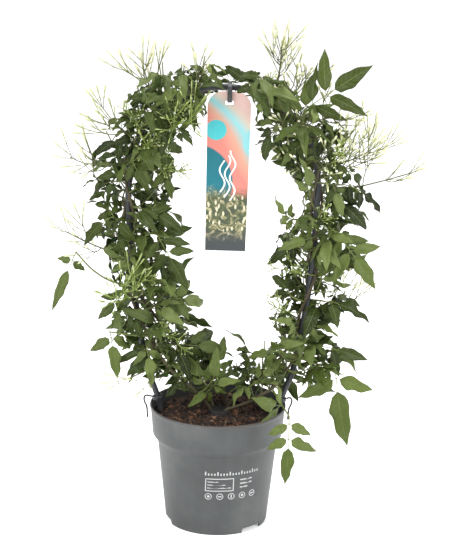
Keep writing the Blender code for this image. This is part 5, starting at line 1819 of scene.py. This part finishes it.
def makeLabel():
    top, foot, length = labelSize["topWidth"] / 2, labelSize["footWidth"] / 2, labelSize["length"]
    corner = labelSize["corner"]
    outline = [(-foot, 0), (foot, 0)]
    for hand, angles in ((1, range(0, 91, 6)), (-1, range(90, -1, -6))):
        for a in map(math.radians, angles):
            x, z = top - corner + corner * math.cos(a), length - corner + corner * math.sin(a)
            outline.append((hand * x, z))
    half = labelSize["thickness"] / 2
    verts = [(x * mm, half * mm, (z - length) * mm) for x, z in outline]
    card = objectOf("labelCard", verts, [tuple(range(len(verts)))])
    pick(card, lambda co: True)
    bpy.ops.mesh.extrude_region_move(TRANSFORM_OT_translate={"value": (0, -2 * half * mm, 0)})
    bpy.ops.mesh.select_all(action="SELECT")
    bpy.ops.mesh.normals_make_consistent(inside=False)
    bpy.ops.object.mode_set(mode="OBJECT")
    bpy.ops.mesh.primitive_cube_add(size=1)
    slot = bpy.context.active_object
    slot.data.transform(Matrix.Diagonal((labelSize["slotWidth"] * mm, 0.01, labelSize["slotHeight"] * mm, 1)))
    slotMiddle = labelSize["slotDrop"] + labelSize["slotHeight"] / 2
    slot.data.transform(Matrix.Translation((0, 0, -slotMiddle * mm)))
    cutAway(card, [slot])
    softEdges(card, 0.12, 2, 50)
    place = Matrix.Translation(Vector((labelSize["x"], labelSize["y"], labelSize["top"])) * mm)
    card.data.transform(place @ Matrix.Rotation(labelSize["lean"], 4, "Y"))
    settle(card, [labelFront, labelBack], ["label"])
    for face in card.data.polygons:
        face.material_index = 0 if face.normal.y < -0.9 else 1
    smoothShade(card, 30)


def makeStrap():
    loop = [Vector((labelSize["x"], y, z)) for y, z in strapSize["loop"]]
    fine = []
    for i in range(len(loop)):
        ends = [loop[(i + k) % len(loop)] for k in (-1, 0, 1, 2)]
        fine += [splinePoint(*ends, k / 6) for k in range(6)]
    half, thick = strapSize["width"] / 2, strapSize["thickness"] / 2
    section = [(half - 0.2, thick), (half, thick - 0.2), (half, 0.2 - thick), (half - 0.2, -thick)]
    section += [(-x, -z) for x, z in section]
    verts, faces, count = [], [], len(fine)
    for i, p in enumerate(fine):
        ahead = (fine[(i + 1) % count] - fine[i - 1]).normalized()
        out = ahead.cross(Vector((1, 0, 0)))
        verts += [(p + Vector((x, 0, 0)) + out * z) * mm for x, z in section]
    for i in range(count):
        for k in range(8):
            a, b = 8 * i, 8 * ((i + 1) % count)
            faces.append((a + k, a + (k + 1) % 8, b + (k + 1) % 8, b + k))
    strap = objectOf("labelStrapBand", verts, faces)
    pointFacesOut(strap)
    smoothShade(strap)
    settle(strap, [hoopPlastic], ["label_strap"])


labelLook = {
    "sky": (0.24, 0.54, 0.57), "pink": (0.62, 0.43, 0.39), "cream": (0.56, 0.48, 0.40),
    "coral": (0.60, 0.20, 0.165), "peach": (0.57, 0.32, 0.23), "aqua": (0.06, 0.44, 0.47),
    "teal": (0.006, 0.14, 0.18), "sand": (0.42, 0.37, 0.22), "slate": (0.045, 0.052, 0.055),
    "moss": (0.07, 0.09, 0.035), "fleck": (0.58, 0.54, 0.38), "lines": (0.88, 0.88, 0.85),
    "waves": ((0.0, "pink"), (0.06, "pink"), (0.12, "cream"), (0.2, "sky"), (0.28, "peach"), (0.38, "coral"),
              (0.66, "coral"), (0.8, "sand")),
    "garden": ((0.3, "slate"), (0.5, "moss"), (0.62, "sand"), (0.74, "fleck")),
    "discs": (  # x and drop of the middle, radius, softness
        ("aqua", (12.0, 38.0, 10.5, 1.0)), ("teal", (32.0, 90.0, 38.0, 1.4)),
        ("sky", (-30.0, 50.0, 17.0, 2.0))),
    # fold: how far down the card the painted highlight line lies
    "fold": 28.0, "gardenTop": (104.0, 116.0), "footTop": (136.0, 150.0),
}


def band(tree, value, low, high):  # 0 below low, 1 above high
    return maths(tree, "DIVIDE", minus(tree, value, low), high - low, clamp=True)


def disc(tree, x, z, centreX, centreZ, radius, soft):  # 1 inside a round patch
    dx, dz = minus(tree, x, centreX), minus(tree, z, centreZ)
    away = maths(tree, "SQRT", plus(tree, times(tree, dx, dx), times(tree, dz, dz)))
    return maths(tree, "DIVIDE", minus(tree, radius, away), soft, clamp=True)


def labelFrontMaterial():  # soft colour waves over a mossy foot with pale flecks, and plain white wave lines
    made, tree, shader = newMaterial("labelFront", 0.28)
    look = labelLook
    centre = (Vector((labelSize["x"], labelSize["y"], labelSize["top"])) + potPlace) * mm
    local = mappedOf(tree, placeOf(tree), vector_type="TEXTURE", Location=centre,
                     Rotation=(0, labelSize["lean"], 0), Scale=(mm,) * 3)
    right, _, rise = axesOf(tree, local)
    x, down = times(tree, right, -1.0), times(tree, rise, -1.0)
    drift = times(tree, maths(tree, "SINE", times(tree, down, 0.055)), 9.0)
    slant = plus(tree, plus(tree, down, times(tree, x, 1.15)), drift)
    share = maths(tree, "DIVIDE", slant, labelSize["length"], clamp=True)
    colour = rampOf(tree, share, [(stop, look[name]) for stop, name in look["waves"]])
    for name, spot in look["discs"]:
        colour = mixOf(tree, disc(tree, x, down, *spot), colour, look[name])
    # painted highlight: a thin pale line across the flat card, mixed toward cream, where a bend would catch the
    # light
    fromHighlightLine = maths(tree, "ABSOLUTE", minus(tree, down, look["fold"]))
    fold = minus(tree, 1.0, times(tree, fromHighlightLine, 2.5), clamp=True)
    colour = mixOf(tree, times(tree, fold, 0.35), colour, look["cream"])
    leafy = noiseOf(tree, local, 0.11, 5.0, 0.7, 1.5)
    garden = rampOf(tree, leafy, [(stop, look[name]) for stop, name in look["garden"]])
    flecks = node(tree, "TexVoronoi", Scale=0.28, Randomness=1.0)
    long = mappedOf(tree, local, Rotation=(0, 0.5, 0), Scale=(1.0, 1.0, 0.45))
    tree.links.new(long, flecks.inputs["Vector"])
    petal = maths(tree, "LESS_THAN", flecks.outputs["Distance"], 0.30)
    garden = mixOf(tree, petal, garden, look["fleck"])
    garden = mixOf(tree, band(tree, down, *look["footTop"]), garden, look["slate"])
    edge = plus(tree, down, times(tree, leafy, 22.0))
    colour = mixOf(tree, band(tree, edge, *look["gardenTop"]), colour, garden)
    for k, start in enumerate((-5.0, 0.0, 5.0)):  # three upright wave lines
        swing = times(tree, maths(tree, "SINE", plus(tree, times(tree, down, 0.24), 0.9 * k)), 2.6)
        off = maths(tree, "ABSOLUTE", minus(tree, minus(tree, x, start), swing))
        stroke = maths(tree, "LESS_THAN", off, 0.75)
        begun = maths(tree, "GREATER_THAN", down, 58.0 + 5 * k)
        span = times(tree, begun, maths(tree, "LESS_THAN", down, 108.0 - 4 * k))
        colour = mixOf(tree, times(tree, stroke, span), colour, look["lines"])
    shader.inputs["Specular IOR Level"].default_value = 0.25
    finish(tree, shader, colour, noiseOf(tree, local, 0.5, 3.0), 0.08, 0.0002)
    return made


def labelBackMaterial():  # white card with faint grey ruled lines
    made, tree, shader = newMaterial("labelBack", 0.4)
    place = placeOf(tree)
    x, _, z = axesOf(tree, place)
    rule = maths(tree, "SINE", times(tree, z, 2 * math.pi / 0.006))
    ruled = times(tree, maths(tree, "GREATER_THAN", rule, 0.8), maths(tree, "LESS_THAN", z, 0.38))
    broken = maths(tree, "GREATER_THAN", noiseOf(tree, place, 260.0, 2.0), 0.45)
    edge = maths(tree, "LESS_THAN", maths(tree, "ABSOLUTE", minus(tree, x, -0.0055)), 0.015)
    ink = times(tree, times(tree, ruled, broken), edge)
    colour = mixOf(tree, times(tree, ink, 0.6), (0.80, 0.80, 0.77), (0.30, 0.33, 0.34))
    finish(tree, shader, colour, noiseOf(tree, place, 500.0), 0.06, 0.0002)
    return made


hoopPlastic, labelFront, labelBack = hoopMaterial(), labelFrontMaterial(), labelBackMaterial()
makeHoop()
makeClip("rim_clip_right", 1)
makeClip("rim_clip_left", -1)
makeLabel()
makeStrap()
print("hoop, clips and label made")


# Camera, floor and lights

def makeCamera():
    deselect()
    bpy.ops.object.camera_add()
    camera = bpy.context.active_object
    place = (cameraSize["place"] + potPlace) * mm
    roll = Matrix.Rotation(cameraSize["roll"], 4, "Z")
    turn = Matrix.Rotation(math.radians(90) - cameraSize["tilt"], 4, "X") @ roll
    camera.matrix_world = Matrix.Translation(place) @ turn
    camera.data.lens = cameraSize["lens"]
    camera.data.clip_start = 0.01
    bpy.context.scene.camera = camera


lighting = {
    "world": 0.62, "floor": (0.93, 0.93, 0.93), "floorLight": (0.95, 0.95, 0.95), "glow": 0.3,
    "target": Vector((0, 0, 0.25)),
    "lamps": {  # place, size and power
        "key": ((-1.5, -1.3, 1.8), 1.0, 54.0), "fill": ((1.8, -1.0, 1.2), 1.0, 38.0),
        "top": ((0.1, 0.4, 2.2), 1.2, 34.0),
    },
}


def makeStage():
    deselect()
    bpy.ops.mesh.primitive_plane_add(size=30)
    floor = bpy.context.active_object
    floor.name = "studioFloor"
    made, tree, shader = newMaterial("floorPale", 0.8)
    tones = ((0.0, lighting["floor"]), (1.0, lighting["floorLight"]))
    tree.links.new(rampOf(tree, noiseOf(tree, placeOf(tree), 0.7), tones), shader.inputs["Base Color"])
    shader.inputs["Emission Color"].default_value = (1, 1, 1, 1)
    shader.inputs["Emission Strength"].default_value = lighting["glow"]
    floor.data.materials.append(made)
    world = bpy.data.worlds.new("studioSky")
    world.use_nodes = True
    world.node_tree.nodes["Background"].inputs["Color"].default_value = (1, 1, 1, 1)
    world.node_tree.nodes["Background"].inputs["Strength"].default_value = lighting["world"]
    bpy.context.scene.world = world
    for name, (place, size, power) in lighting["lamps"].items():
        bpy.ops.object.light_add(type="AREA", location=place)
        lamp = bpy.context.active_object
        lamp.name = name + "Light"
        lamp.data.size = size
        lamp.data.energy = power
        aim = lighting["target"] - Vector(place)
        lamp.rotation_euler = aim.to_track_quat("-Z", "Y").to_euler()
    bpy.context.scene.view_settings.view_transform = "Standard"


makeCamera()
makeStage()
print("stage set")
